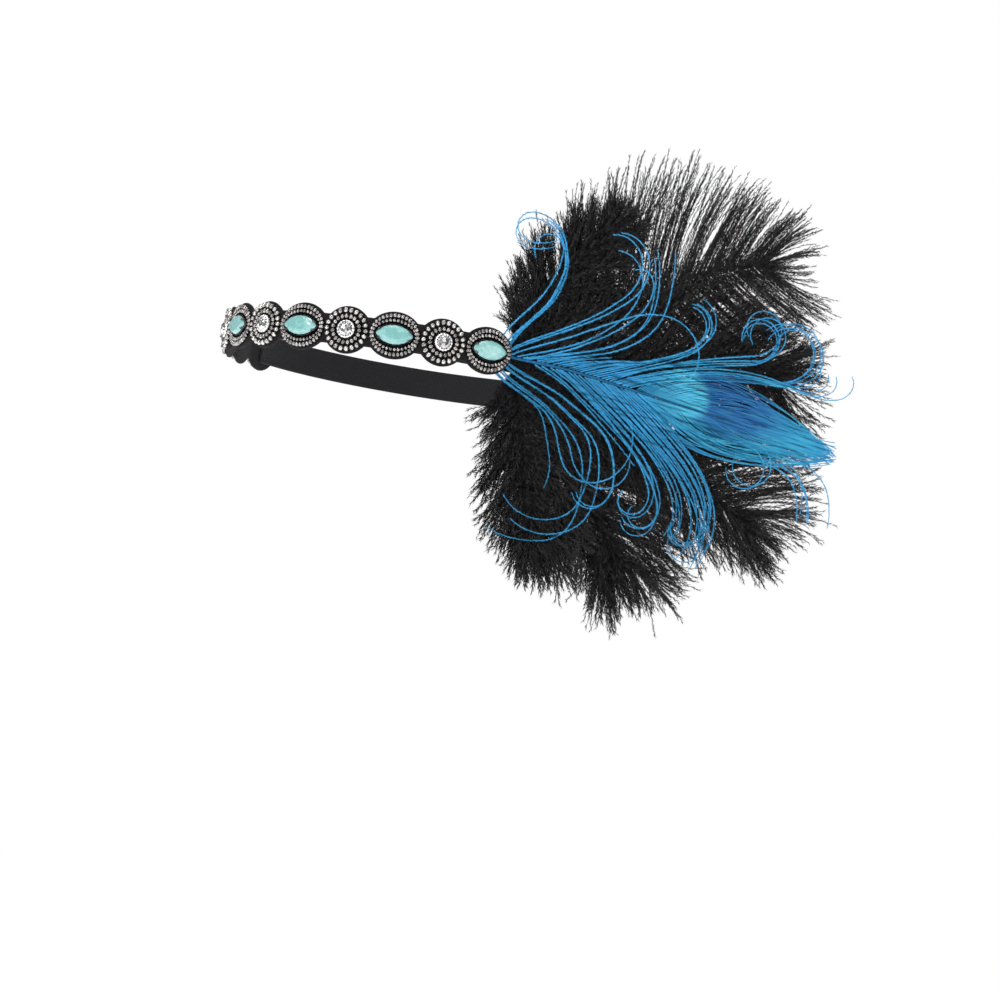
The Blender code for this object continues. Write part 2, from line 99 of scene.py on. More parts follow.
# Rows of beads. A bead's seat, squash and pitch are shares of its diameter.
NAVETTE_INNER_ROW = (9.35 * MM, 6.42 * MM)
NAVETTE_INNER_POINT = 0.12
NAVETTE_INNER_BEAD = 0.95
ROSETTE_INNER_RADIUS = 5.85 * MM
SILVER_ROW_OVER = 0.1 * MM
BEAD_SEAT = 0.42
BEAD_SQUASH = 0.84
BEAD_PITCH = 0.86
SILVER_BEAD_PITCH = 1.04
BEAD_UNEVENNESS = 0.07

# Feathers. Lengths in the feather tables are percent of the spray's radius.
SPRAY_RADIUS = 100 * MM
PERCENT = SPRAY_RADIUS / 100
LAYER = 2.2 * MM
RISE_LENGTH = 24 * MM
FLARE = radians(15)
FLARE_BEND = 8 * MM
QUILL_THICK = 0.7 * MM
QUILL_HALF_WIDE = 0.65 * MM
HERL_THICK = 0.6 * MM
SPRAY_GAP = 0.6 * MM

BAND_END = (MOTIFS // 2) * PITCH + NAVETTE_ROWS[0] + FELT_MARGIN
FELT_REACH = BAND_END - 0.5 * MM
FELT_BASE = ELASTIC_THICK + GAP
FELT_LIFT = QUILL_THICK + HERL_THICK + GAP + SPRAY_GAP
FELT_LIFT_LENGTH = 48 * MM


class HEADPIECE_PG_band(bpy.types.PropertyGroup):
    """Sizes and colours of the band."""
    felt_colour: bpy.props.FloatVectorProperty(
        name="Felt colour", description="Colour of the felt base", subtype="COLOR",
        size=3, min=0, max=1, default=(0.007, 0.006, 0.007))
    elastic_colour: bpy.props.FloatVectorProperty(
        name="Elastic colour", description="Colour of the elastic at the back", subtype="COLOR",
        size=3, min=0, max=1, default=(0.008, 0.008, 0.009))
    felt_round: bpy.props.FloatProperty(
        name="Felt edge", description="Rounding of the felt's cut edge", unit="LENGTH",
        min=0.1 * MM, max=0.8 * MM, default=0.6 * MM)
    elastic_ribs: bpy.props.IntProperty(
        name="Elastic ribs", description="Cords that run along the elastic", min=4, max=20,
        default=11)
    bead_size: bpy.props.FloatProperty(
        name="Dark bead", description="Diameter of the seed beads round the pointed stones",
        unit="LENGTH", min=1 * MM, max=3 * MM, default=2.08 * MM)
    rosette_bead_size: bpy.props.FloatProperty(
        name="Rosette bead", description="Diameter of the dark beads round the crystals",
        unit="LENGTH", min=1 * MM, max=3 * MM, default=2.35 * MM)
    silver_bead_size: bpy.props.FloatProperty(
        name="Silver bead", description="Diameter of the bright outer beads of a rosette",
        unit="LENGTH", min=1 * MM, max=3 * MM, default=2.45 * MM)
    dark_bead_colour: bpy.props.FloatVectorProperty(
        name="Dark bead colour", description="Colour of the dark seed beads", subtype="COLOR",
        size=3, min=0, max=1, default=(0.28, 0.265, 0.26))
    silver_bead_colour: bpy.props.FloatVectorProperty(
        name="Silver bead colour", description="Colour of the bright seed beads", subtype="COLOR",
        size=3, min=0, max=1, default=(0.46, 0.44, 0.42))


class HEADPIECE_PG_jewels(bpy.types.PropertyGroup):
    """Colours of the stones, crystals and metal."""
    stone_colour: bpy.props.FloatVectorProperty(
        name="Stone colour", description="Main colour of the pointed stones", subtype="COLOR",
        size=3, min=0, max=1, default=(0.185, 0.44, 0.42))
    stone_milk: bpy.props.FloatVectorProperty(
        name="Stone streaks", description="Pale clouds inside the pointed stones",
        subtype="COLOR", size=3, min=0, max=1, default=(0.29, 0.56, 0.54))
    crystal_colour: bpy.props.FloatVectorProperty(
        name="Crystal colour", description="Colour of the foil backed crystals", subtype="COLOR",
        size=3, min=0, max=1, default=(0.86, 0.86, 0.85))
    silver_colour: bpy.props.FloatVectorProperty(
        name="Silver colour", description="Colour of the crystals' cups", subtype="COLOR",
        size=3, min=0, max=1, default=(0.88, 0.87, 0.86))
    gunmetal_colour: bpy.props.FloatVectorProperty(
        name="Setting colour", description="Colour of the pointed stones' settings",
        subtype="COLOR", size=3, min=0, max=1, default=(0.10, 0.095, 0.10))


class HEADPIECE_PG_feathers(bpy.types.PropertyGroup):
    """Fullness and colours of the feathers."""
    fullness: bpy.props.FloatProperty(
        name="Fullness", description="Factor on the number of tufts of an ostrich plume",
        min=0.2, max=1.5, default=1.0)
    barbule_length: bpy.props.FloatProperty(
        name="Ostrich barbule", description="Length of an ostrich barb's fine hairs",
        unit="LENGTH", min=0.5 * MM, max=6 * MM, default=3.0 * MM)
    barbule_step: bpy.props.FloatProperty(
        name="Ostrich barbule step", description="Distance between hairs along a barb",
        unit="LENGTH", min=0.05 * MM, max=2 * MM, default=0.44 * MM)
    eye_barbs: bpy.props.IntProperty(
        name="Eye barbs", description="Barbs on each side of the peacock feather's eye",
        min=20, max=160, default=70)
    ostrich_colour: bpy.props.FloatVectorProperty(
        name="Ostrich colour", description="Colour of the ostrich plumes", subtype="COLOR",
        size=3, min=0, max=1, default=(0.004, 0.004, 0.005))
    # partly the plumes' own warm tone, partly painted glints of sheen on the strands
    ostrich_tone_and_glint: bpy.props.FloatVectorProperty(
        name="Ostrich warm tone", description="Warmer tone that shows in the plumes",
        subtype="COLOR", size=3, min=0, max=1, default=(0.013, 0.011, 0.010))
    peacock_colour: bpy.props.FloatVectorProperty(
        name="Peacock blue", description="Main dye of the peacock feather", subtype="COLOR",
        size=3, min=0, max=1, default=(0.028, 0.29, 0.55))
    peacock_light: bpy.props.FloatVectorProperty(
        name="Peacock turquoise", description="Bright lobe of the eye", subtype="COLOR",
        size=3, min=0, max=1, default=(0.07, 0.47, 0.66))
    peacock_deep: bpy.props.FloatVectorProperty(
        name="Peacock royal blue", description="Dark oval of the eye", subtype="COLOR",
        size=3, min=0, max=1, default=(0.018, 0.105, 0.36))


class HEADPIECE_PG_stage(bpy.types.PropertyGroup):
    """Camera and light."""
    azimuth: bpy.props.FloatProperty(
        name="Azimuth", description="Camera's turn round the headpiece", subtype="ANGLE",
        default=radians(46.9))
    elevation: bpy.props.FloatProperty(
        name="Elevation", description="Camera's height as an angle", subtype="ANGLE",
        default=radians(-6.6))
    roll: bpy.props.FloatProperty(
        name="Roll", description="Camera's roll", subtype="ANGLE", default=radians(7.8))
    distance: bpy.props.FloatProperty(
        name="Distance", description="Camera's distance from the origin", unit="LENGTH",
        default=1.4)


def smooth(x):
    x = min(1.0, max(0.0, x))
    return x * x * (3 - 2 * x)


class HeadLine:
    """The line of the felt's inner side round the opening, measured from the band's middle."""

    def __init__(self, out):
        turn = np.linspace(-pi, pi, OVAL_POINTS)
        x = HEAD_HALF_BREADTH * np.sin(turn)
        y = -HEAD_HALF_LENGTH * np.cos(turn)
        nx = HEAD_HALF_LENGTH * np.sin(turn)
        ny = -HEAD_HALF_BREADTH * np.cos(turn)
        size = np.hypot(nx, ny)
        self.nx, self.ny = nx / size, ny / size
        self.x, self.y = x, y
        step = np.hypot(np.diff(x + out * self.nx), np.diff(y + out * self.ny))
        s = np.concatenate([[0.0], np.cumsum(step)])
        self.s = s - np.interp(0.0, turn, s)
        self.around = float(s[-1])

    def frame(self, s):
        """The oval's point at length s, its outward normal and its direction."""
        s = (s + self.around / 2) % self.around - self.around / 2
        spot = Vector((np.interp(s, self.s, self.x), np.interp(s, self.s, self.y), 0))
        out = Vector((np.interp(s, self.s, self.nx), np.interp(s, self.s, self.ny), 0)).normalized()
        return spot, out, Vector((-out.y, out.x, 0))

    def at(self, s, up, out):
        spot, normal, along = self.frame(s)
        return spot + normal * out + Vector((0, 0, up))


LINE = HeadLine(FELT_BASE)
END_SPOT, END_OUT, END_ALONG = LINE.frame(BAND_END)


def felt_out(s):
    """How far the felt's inner side stands off the oval, more over the quills."""
    start = BAND_END - ELASTIC_TUCK_LEFT - FELT_LIFT_LENGTH
    return FELT_BASE + FELT_LIFT * smooth((s - start) / FELT_LIFT_LENGTH)


def motif_sizes(k):
    """Whether motif k holds a pointed stone, and the half sizes of its bead rows."""
    pointed = k % 2 == 0
    return pointed, NAVETTE_ROWS if pointed else (ROSETTE_RADIUS, ROSETTE_RADIUS)


def motif_place(k):
    """Length along the band from its middle to motif k's."""
    return (k - MOTIFS // 2) * PITCH


def felt_half_height(s):
    """Half the felt's height: a scallop round each motif, and round ends."""
    tall = FELT_VALLEY_SHARE * (ROSETTE_RADIUS + FELT_MARGIN)
    for k in range(MOTIFS):
        pointed, (half_long, half_high) = motif_sizes(k)
        x = (s - motif_place(k)) / (half_long + FELT_MARGIN)
        if abs(x) < 1:
            bump = (half_high + FELT_MARGIN) * sqrt(1 - x * x)
            at_end = k in (0, MOTIFS - 1) and (s - motif_place(k)) * motif_place(k) > 0
            tall = bump if at_end else max(tall, bump)
    return tall


def oval(half_long, half_high, count, point=0.0, turn=0.0):
    """Points round an oval; point above 0 draws its ends to a tip."""
    for j in range(count):
        angle = 2 * pi * (j + turn) / count
        lean = abs(sin(angle)) ** point
        yield half_long * cos(angle), half_high * sin(angle) * lean


def seat(k):
    """Middle of motif k's seat just off the felt, with its outward and along directions."""
    s = motif_place(k)
    spot, out, along = LINE.frame(s)
    return spot + out * (felt_out(s) + FELT_THICK + GAP), out, along


def flat_place(k):
    """Seat of a hard piece on motif k: a flat base that touches the felt at its middle."""
    base, out, along = seat(k)

    def place(u, v, w):
        return base + along * u + Vector((0, 0, v)) + out * w
    return place


def bent_place(k):
    """Seat of a soft piece on motif k, which follows the felt."""
    s = motif_place(k)

    def place(u, v, w):
        return LINE.at(s + u, v, felt_out(s + u) + FELT_THICK + GAP + w)
    return place


def felt_clear(p, q):
    """How far a point of the spray lies outside the felt's left end, 0 or less behind it."""
    long = NAVETTE_ROWS[0] + FELT_MARGIN
    high = NAVETTE_ROWS[1] + FELT_MARGIN
    return (hypot((p + long) / (long + 2 * GAP), q / (high + 2 * GAP)) - 1) * long


def spray(p, q, level, base):
    """Point of the spray: p back from the band's end, q up, level outward once clear."""
    rise = smooth((felt_clear(p, q) - GAP) / RISE_LENGTH)
    back = max(0.0, p)
    flare = tan(FLARE) * (back - FLARE_BEND * (1 - exp(-back / FLARE_BEND)))
    out = ELASTIC_THICK + base + level * rise + flare
    if p < 0:
        return LINE.at(BAND_END + p, q, out)
    return END_SPOT + END_OUT * out + END_ALONG * p + Vector((0, 0, q))


def walk(start, heading, runs, step):
    """Points, headings and lengths along arcs; a run is percent of the spray and a turn."""
    p, q = start
    angle = radians(heading)
    points = [(p, q, angle, 0.0)]
    gone = 0.0
    for length, turn in runs:
        length *= PERCENT
        count = max(1, round(max(length / step, abs(turn) / 30)))
        for i in range(count):
            angle += radians(turn) / count / 2
            p += length / count * cos(angle)
            q += length / count * sin(angle)
            angle += radians(turn) / count / 2
            gone += length / count
            points.append((p, q, angle, gone))
    return points


class Shaft:
    """A feather's shaft: a bent line in the spray, with its half width and its seat."""

    def __init__(self, start, heading, runs, half_wide, base):
        self.points = np.array(walk(start, heading, runs, 1 * MM))
        self.length = float(self.points[-1, 3])
        self.half_wide = half_wide
        self.base = base

    def at(self, r):
        return [float(np.interp(r, self.points[:, 3], self.points[:, c])) for c in range(3)]

    def heading(self, r):
        return degrees(self.at(r)[2])

    def edge(self, r, side):
        p, q, angle = self.at(r)
        half = self.half_wide * (1 - SHAFT_TAPER * r / self.length) * side
        return p - sin(angle) * half, q + cos(angle) * half


SHAFT_TAPER = 0.6

Plume = namedtuple("Plume", "name up launch runs layer foot mid tip lean_foot lean_tip lower")
Barbs = namedtuple("Barbs", "upper lower tufts in_tuft stray")

# name, quill's height as a share of the elastic's, launch, runs (percent, turn), layer,
# lock lengths in percent at foot, mid and tip, the locks' angle to the shaft at foot and
# tip, and the share of those lengths on the lower side
PLUMES = tuple(Plume(*row) for row in (
    ("ostrich_plume_1", 0.66, 64, ((24, 0), (38, -16)), -0.2, 30, 34, 26, 62, 28, 1.0),
    ("ostrich_plume_2", 0.40, 37, ((50, -8), (46, -6), (28, -4)), -1.2, 36, 62, 34, 78, 30, 0.76),
    ("ostrich_plume_3", 0.14, 6, ((70, 2), (48, -8)), 0.8, 36, 46, 28, 62, 24, 1.0),
    ("ostrich_plume_4", -0.12, -18, ((60, -8), (62, -8)), 1.8, 32, 46, 32, 58, 24, 1.0),
    ("ostrich_plume_5", -0.38, -46, ((50, -4), (46, -14)), -2.2, 36, 44, 32, 56, 24, 1.0),
    ("ostrich_plume_6", -0.64, -80, ((30, 0), (38, 6)), 2.8, 32, 38, 30, 56, 26, 1.0),
))
# for each plume: share of the lock lengths, growth and further lean towards the tip on its
# upper side, the same on its lower side, tufts on a side, barbs in a tuft, stray in degrees
PLUME_BARBS = tuple(Barbs(*row) for row in (
    ((0.84, 0.00, 0), (1.04, 0.00, 0), 32, 10, 4.5),
    ((1.04, 0.00, 8), (1.00, 0.60, 18), 60, 7, 2.2),
    ((1.02, 0.10, 12), (1.00, 0.70, 26), 40, 10, 4.0),
    ((1.06, 0.30, 24), (1.12, 0.05, 2), 38, 10, 4.0),
    ((1.22, 0.10, 14), (1.00, 0.10, 4), 38, 11, 5.0),
    ((1.15, 0.00, 4), (0.90, 0.05, 0), 32, 11, 5.0),
))
QUILL_TUCK = 12.0 * MM
QUILL_BEND = 7.0 * MM
BARE_OVERLAP = 3 * MM
OSTRICH_QUILL = 0.62 * MM
OSTRICH_QUILL_COLOUR = (0.010, 0.009, 0.009)
# tufts that close a plume's tip, where they spring and the middle one's share of the length
TIP_TUFTS = 9
TIP_PLACE = 0.985
TIP_REACH = 0.86
# the first share of a plume, in which its barbs are shorter
SHORT_FOOT = 0.14
# a tuft: how much wider than its place, its factor on the lean, its bend in degrees, how
# much its barbs draw together, and the stray from which they do so fully
TUFT_WIDE = 1.8
TUFT_LEAN = 1.1
TUFT_BEND = 9
TUFT_DRAW = 0.7
TUFT_DRAW_STRAY = 4
# half the depth that a plume's tufts fill, and where barbs root across the shaft
PLUME_DEPTH = 2.4 * MM
BARB_ROOT = 0.2
# short downy barbs in each tuft, their lengths in percent and their stray in degrees
DOWN_BARBS = 2
DOWN_LENGTHS = (7, 15)
DOWN_STRAY = 26.0

# The peacock feather's strips, from the root on, in percent of the spray's radius: side,
# place from the band's end, foot, heading, runs (percent, turn), width at foot and tip,
# millimetres above the feather
CURLED_HERLS = (
    (1, -9.0, 1.4, 62, ((34, 4), (16, 22), (14, 62), (6, 40)), 1.3, 0.9, 1.6),
    (1, -6.0, 1.4, 56, ((40, 8), (14, 40), (14, 45)), 1.2, 0.9, 0.6),
    (1, -3.0, 1.4, 36, ((34, -6), (24, 12), (16, 40), (16, 62), (10, 45)), 1.7, 1.0, 2.4),
    (1, 0.0, 1.4, 28, ((50, -4), (16, -26), (20, -62), (16, -60)), 1.2, 0.8, 3.6),
    (1, 3.0, 1.4, 20, ((24, 8), (20, 18), (18, 38), (12, 50), (10, 50)), 1.3, 0.9, 1.2),
    (1, 6.0, 2.0, 14, ((28, 4), (20, 22), (18, 40), (24, 20)), 2.4, 1.2, 1.6),
    (-1, -21.0, 1.4, -31, ((34, -2), (14, -38), (16, -8), (14, -38)), 1.3, 0.8, -1.2),
    (-1, -17.0, 1.4, -34, ((36, -6), (14, -34), (10, 10), (12, 60), (14, 50), (26, 76)), 1.3, 0.8, 2.6),
    (-1, -13.0, 1.4, -32, ((44, -6), (18, -38), (22, -24), (18, -60), (26, -30)), 1.3, 0.8, -0.4),
    (-1, -9.0, 1.4, -30, ((50, -6), (16, -48), (22, -26), (14, -46), (30, -66)), 1.5, 0.8, 0.6),
    (-1, -5.0, 1.4, -28, ((48, -4), (16, -40), (14, -24), (10, -40), (18, -130)), 1.5, 0.9, 1.8),
)
VANE_STRIPS = (
    (1, 11.0, 5.0, 22, ((10, -6), (10, -8)), 3.0, 1.0, 0),
    (1, 16.5, 6.0, 22, ((12, -6), (12, -8)), 3.2, 1.0, 0),
    (1, 23.0, 7.0, 22, ((16, -6), (14, -8)), 3.4, 1.2, 0),
    (1, 30.5, 7.5, 22, ((34, 0), (12, 8), (12, 40), (10, 60), (8, 50)), 3.4, 1.0, 0),
    (1, 38.5, 7.5, 25, ((34, -10), (32, -6), (13, 48), (12, 80), (12, 80), (10, 70)), 3.6, 1.0, 0.6),
    (1, 46.5, 7.5, 24, ((30, -16), (40, -8), (18, 44), (16, 76), (14, 60), (12, 50)), 3.8, 1.0, 1),
    (-1, 10.0, 5.0, -32, ((30, -4), (18, -6), (16, -10)), 2.0, 1.0, 0),
    (-1, 16.0, 6.0, -32, ((40, -8), (20, -12), (14, -24), (12, -44), (19, -130)), 2.4, 1.0, 0.4),
    (-1, 23.0, 7.0, -32, ((46, -8), (22, -14), (16, -30), (12, -50)), 3.2, 1.2, 0),
    (-1, 31.0, 7.5, -34, ((46, -8), (20, -14), (18, -30), (14, -36)), 4.6, 1.6, -0.4),
    (-1, 39.5, 7.5, -34, ((42, -8), (20, -16), (18, -30), (16, -34)), 4.6, 1.6, 0),
    (-1, 48.0, 7.5, -34, ((36, -8), (18, -18), (16, -32), (14, -50), (18, -140)), 3.6, 1.0, 1.2),
    (-1, 56.0, 7.5, -34, ((34, 12), (26, 26), (16, -24), (14, -50), (14, -26)), 4.4, 1.2, 1.6),
)
# loose strips of one or two herls that the tables above leave out, in the same form
LOOSE_HERLS = (
    (1, 46.0, 1.4, 24, ((34, -10), (30, -16), (20, -12), (12, 30), (8, 50), (6, 60)), 1.8, 1.6, 2.2),
    (1, 49.0, 1.4, 26, ((34, -14), (30, -16), (18, -4), (10, 44), (8, 80)), 1.6, 1.4, 3.0),
    (1, -3.0, 1.4, 64, ((22, 0), (17, 10), (14, 36), (12, 42), (10, 38), (8.5, 66), (5, 50),
                       (6.5, 50), (13, 30)), 1.6, 1.2, 3.2),
    (1, 8.0, 1.4, 24, ((30, 6), (22, 20), (16, 44), (8, 60), (6, 70)), 1.4, 1.8, 3.2),
    (1, -7.0, 1.4, 50, ((30, 10), (18, 30), (12, 50), (12, 90), (8, 60)), 1.4, 1.6, 2.2),
    (-1, 57.0, 1.4, -36, ((30, 20), (24, 30), (14, -70), (14, -80), (14, -80), (10, -70)), 1.8, 1.6, 2.6),
    (-1, 20.0, 1.4, -36, ((50, -10), (20, -24), (12, -70), (10, -90), (8, -90)), 1.5, 1.8, 2.0),
    (-1, -15.0, 1.4, -30, ((40, -12), (16, -30), (14, 40), (14, 70), (12, 60)), 1.4, 1.4, 1.8),
)
# side of the eye and where it starts on the shaft; then where its barbs come together
EYE_SIDES = ((1, 56.0), (-1, 60.0))
EYE_TIP_PLACE = 151.0
TIP_BARBS = 9
# angle in degrees between the eye's barbs and the shaft at the eye's foot and at its tip
EYE_LEAN = 50
EYE_TIP_LEAN = 2
CURL_RISE = 1.6 * MM
HERL_PITCH = 0.95
# lengths over which a strip's herls part from each other and rise to their height
HERL_PART = 14 * MM
HERL_RISE = 16 * MM
HERL_STEP = 2.4 * MM
EYE_STEP = 2.6 * MM
PEACOCK_RUNS = ((24, -3), (36, -1), (56, 0))
PEACOCK_LAUNCH = -4
PEACOCK_TUCK = ELASTIC_TUCK_LEFT - 2 * MM
PEACOCK_UP = 0.5 * MM
PEACOCK_LAYER = 4.1
PEACOCK_HALF_WIDE = 1.0 * MM
PEACOCK_QUILL = 0.7 * MM
PEACOCK_QUILL_COLOUR = (0.02, 0.13, 0.28)

# the barb tree's inputs for each kind of feather
OSTRICH_BARBS = {"Barb_Radius": 0.17 * MM, "Barb_Taper": 0.75, "Barb_Step": 7 * MM,
                 "Hair_Width": 0.38 * MM, "Hair_Lean": radians(25), "Hair_Tip_Share": 0.7}
HERL_BARBS = {"Barb_Radius": 0.42 * MM, "Barb_Taper": 0.6, "Barb_Step": 2.5 * MM,
              "Hair_Step": 0.15 * MM, "Hair_Length": 1.3 * MM, "Hair_Width": 0.26 * MM,
              "Hair_Lean": radians(36), "Hair_Tip_Share": 0.6}
EYE_BARBS = {"Barb_Radius": 0.33 * MM, "Barb_Taper": 0.4, "Barb_Step": 3 * MM,
             "Hair_Step": 0.22 * MM, "Hair_Length": 0.7 * MM, "Hair_Width": 0.2 * MM,
             "Hair_Lean": radians(40), "Hair_Tip_Share": 0.8}

# Ovals of colour on the peacock feather, in millimetres: the middle's distance back from the
# band's end and its height, the half sizes, the softness of the edge and the slope.
EYE_HALO = (103, -9, 44, 21, 0.16, -0.16)
EYE_OVAL = (101, -6, 24, 14, 0.32, -0.12)
EYE_LOBE = (77, -5, 12.5, 10.5, 0.16, -0.10)
EYE_HEART = (69, -5, 7, 7, 0.5, -0.3)
# an oval of painted shade over the lower herls, in the same form
LOW_SHADE = (86, -62, 26, 36, 0.6, 0.0)

# The feathers' shared colour map: its side, and the room before and below the band's end.
MAP_SIDE = 240
MAP_BEFORE = 40
MAP_BELOW = 125

# The picture's width in pixels, the pixel where the origin shows, and the length of one pixel
# at the origin's distance.
PICTURE_WIDE = 1000
ORIGIN_PIXEL = (424, 363.7)
PIXEL = 0.4715 * MM
SENSOR_WIDE = 36

FLOOR_RADIUS = 3.0
FLOOR_LEVEL = -0.45
# stops of the sky's grey from straight below to straight above
SKY_STOPS = (
    (0.0, (0.12, 0.12, 0.12)),
    (0.48, (0.18, 0.18, 0.18)),
    (0.62, (0.34, 0.34, 0.35)),
    (1.0, (0.60, 0.61, 0.63)),
)
# name, place to the camera's right, to its top and towards it, side and power; the lamps
# point at a spot this share of the way from the origin to the band's end
LAMPS = (
    ("key", (-0.75, 0.75, 1.1), 0.6, 10),
    ("fill", (0.95, 0.15, 0.9), 0.8, 4.5),
    ("top", (0.0, 1.2, 0.1), 0.7, 6),
    ("rim", (0.5, 0.4, -1.0), 0.6, 4),
)
LAMP_TARGET = 0.8


def ostrich_shaft(plume):
    root = ((QUILL_TUCK / PERCENT, 0), (QUILL_BEND / PERCENT, plume.launch))
    start = (-QUILL_TUCK, plume.up * ELASTIC_HALF_HEIGHT)
    return Shaft(start, 0, root + plume.runs, QUILL_HALF_WIDE, GAP + QUILL_THICK / 2)


def peacock_shaft():
    base = GAP + QUILL_THICK + SPRAY_GAP + HERL_THICK / 2
    runs = ((PEACOCK_TUCK / PERCENT, PEACOCK_LAUNCH),) + PEACOCK_RUNS
    return Shaft((-PEACOCK_TUCK, PEACOCK_UP), 0, runs, PEACOCK_HALF_WIDE, base)


class Wire:
    """A node's output that takes part in plain arithmetic through Math nodes."""

    def __init__(self, tree, socket):
        self.tree = tree
        self.socket = socket

    def math(self, operation, *values):
        found = add_node(self.tree, "ShaderNodeMath", {"operation": operation},
                         {i: v for i, v in enumerate(values)})
        return Wire(self.tree, found.outputs[0])

    def __add__(self, other):
        return self.math("ADD", self, other)

    def __radd__(self, other):
        return self.math("ADD", other, self)

    def __sub__(self, other):
        return self.math("SUBTRACT", self, other)

    def __rsub__(self, other):
        return self.math("SUBTRACT", other, self)

    def __mul__(self, other):
        return self.math("MULTIPLY", self, other)

    def __rmul__(self, other):
        return self.math("MULTIPLY", other, self)

    def __truediv__(self, other):
        return self.math("DIVIDE", self, other)

    def __rtruediv__(self, other):
        return self.math("DIVIDE", other, self)

    def __pow__(self, other):
        return self.math("POWER", self, other)


def add_node(tree, kind, settings=None, values=None):
    """Add a node: its settings first, a ramp's stops among them, then values and links."""
    node = tree.nodes.new(kind)
    for name, value in (settings or {}).items():
        if name == "stops":
            ramp = node.color_ramp
            while len(ramp.elements) > 1:
                ramp.elements.remove(ramp.elements[-1])
            for i, (place, colour) in enumerate(value):
                stop = ramp.elements[0] if i == 0 else ramp.elements.new(place)
                stop.position = place
                stop.color = (*colour, 1.0)
        else:
            setattr(node, name, value)
    for name, value in (values or {}).items():
        if isinstance(value, Wire):
            tree.links.new(value.socket, node.inputs[name])
        elif isinstance(value, bpy.types.NodeSocket):
            tree.links.new(value, node.inputs[name])
        else:
            node.inputs[name].default_value = value
    return node


def rgba(colour):
    return (*colour[:3], 1.0)


def toned(colour, factor, lift=0.0):
    """A colour made darker or lighter, within what a colour can be."""
    return tuple(min(1.0, c * factor + lift) for c in colour)


class Finish:
    """A material of the headpiece: one Principled shader and what feeds it."""

    def __init__(self, name, **constants):
        self.material = bpy.data.materials.new(name)
        self.material.use_nodes = True
        self.tree = self.material.node_tree
        self.shader = self.tree.nodes["Principled BSDF"]
        for label, value in constants.items():
            self.shader.inputs[label.replace("_", " ")].default_value = value

    def node(self, kind, settings=None, values=None):
        return add_node(self.tree, kind, settings, values)

    def wire(self, node, output=0):
        return Wire(self.tree, node.outputs[output])

    def feed(self, label, value):
        self.tree.links.new(getattr(value, "socket", value), self.shader.inputs[label])

    def place(self):
        """Object coordinates, in metres from the origin."""
        return self.node("ShaderNodeTexCoord").outputs["Object"]

    def noise(self, vector, scale, detail, rough, distort=0.0):
        return self.wire(self.node("ShaderNodeTexNoise", {"noise_dimensions": "3D"},
                                   {"Vector": vector, "Scale": scale, "Detail": detail,
                                    "Roughness": rough, "Distortion": distort}))

    def spread(self, value, low, high):
        """Map low to 0 and high to 1, with clamped ends."""
        return self.wire(self.node("ShaderNodeMapRange", {"clamp": True}, {
            "Value": value, "From Min": low, "From Max": high}))

    def mix(self, factor, a, b):
        """Blend of two colours by a factor."""
        values = {0: factor}
        for slot, colour in ((6, a), (7, b)):
            plain = isinstance(colour, (tuple, list)) or hasattr(colour, "r")
            values[slot] = rgba(colour) if plain else colour
        return self.node("ShaderNodeMix", {"data_type": "RGBA"}, values).outputs[2]

    def bump(self, height, distance, strength):
        made = self.node("ShaderNodeBump", None, {
            "Height": height, "Distance": distance, "Strength": strength})
        self.feed("Normal", made.outputs[0])


class Tree:
    """A geometry node tree with named inputs, used on one base mesh at a time."""

    def __init__(self, name, inputs):
        self.tree = bpy.data.node_groups.new(name, "GeometryNodeTree")
        self.names = {}
        face = self.tree.interface
        face.new_socket("Geometry", in_out="INPUT", socket_type="NodeSocketGeometry")
        for label, kind in inputs:
            made = face.new_socket(label, in_out="INPUT", socket_type="NodeSocket" + kind)
            self.names[label] = made.identifier
        face.new_socket("Geometry", in_out="OUTPUT", socket_type="NodeSocketGeometry")
        self.start = self.tree.nodes.new("NodeGroupInput")
        self.end = self.tree.nodes.new("NodeGroupOutput")

    def __getitem__(self, label):
        return Wire(self.tree, self.start.outputs[label])

    def node(self, kind, settings=None, values=None):
        return add_node(self.tree, kind, settings, values)

    def wire(self, kind, settings=None, values=None, output=0):
        return Wire(self.tree, self.node(kind, settings, values).outputs[output])

    def random(self, low, high, seed):
        return self.wire("FunctionNodeRandomValue", {"data_type": "FLOAT"},
                         {2: low, 3: high, 8: seed}, 1)

    def finish(self, parts):
        """Join the parts, make instances real and give them the named material."""
        joined = self.node("GeometryNodeJoinGeometry")
        for part in parts:
            self.tree.links.new(part.socket, joined.inputs[0])
        real = self.node("GeometryNodeRealizeInstances", None, {0: joined.outputs[0]})
        done = self.node("GeometryNodeSetMaterial", None,
                         {"Geometry": real.outputs[0], "Material": self["Material"]})
        self.tree.links.new(done.outputs[0], self.end.inputs[0])
        return self

    def grow(self, name, mesh, **values):
        """Run the tree on a base mesh and return the finished plain mesh."""
        ob = bpy.data.objects.new(name, mesh)
        bpy.context.scene.collection.objects.link(ob)
        mod = ob.modifiers.new("nodes", "NODES")
        mod.node_group = self.tree
        for label, value in values.items():
            mod[self.names[label.replace("_", " ")]] = value
        graph = bpy.context.evaluated_depsgraph_get()
        made = bpy.data.meshes.new_from_object(ob.evaluated_get(graph), depsgraph=graph)
        ob.modifiers.remove(mod)
        bpy.data.objects.remove(ob)
        bpy.data.meshes.remove(mesh)
        made.name = name
        return made


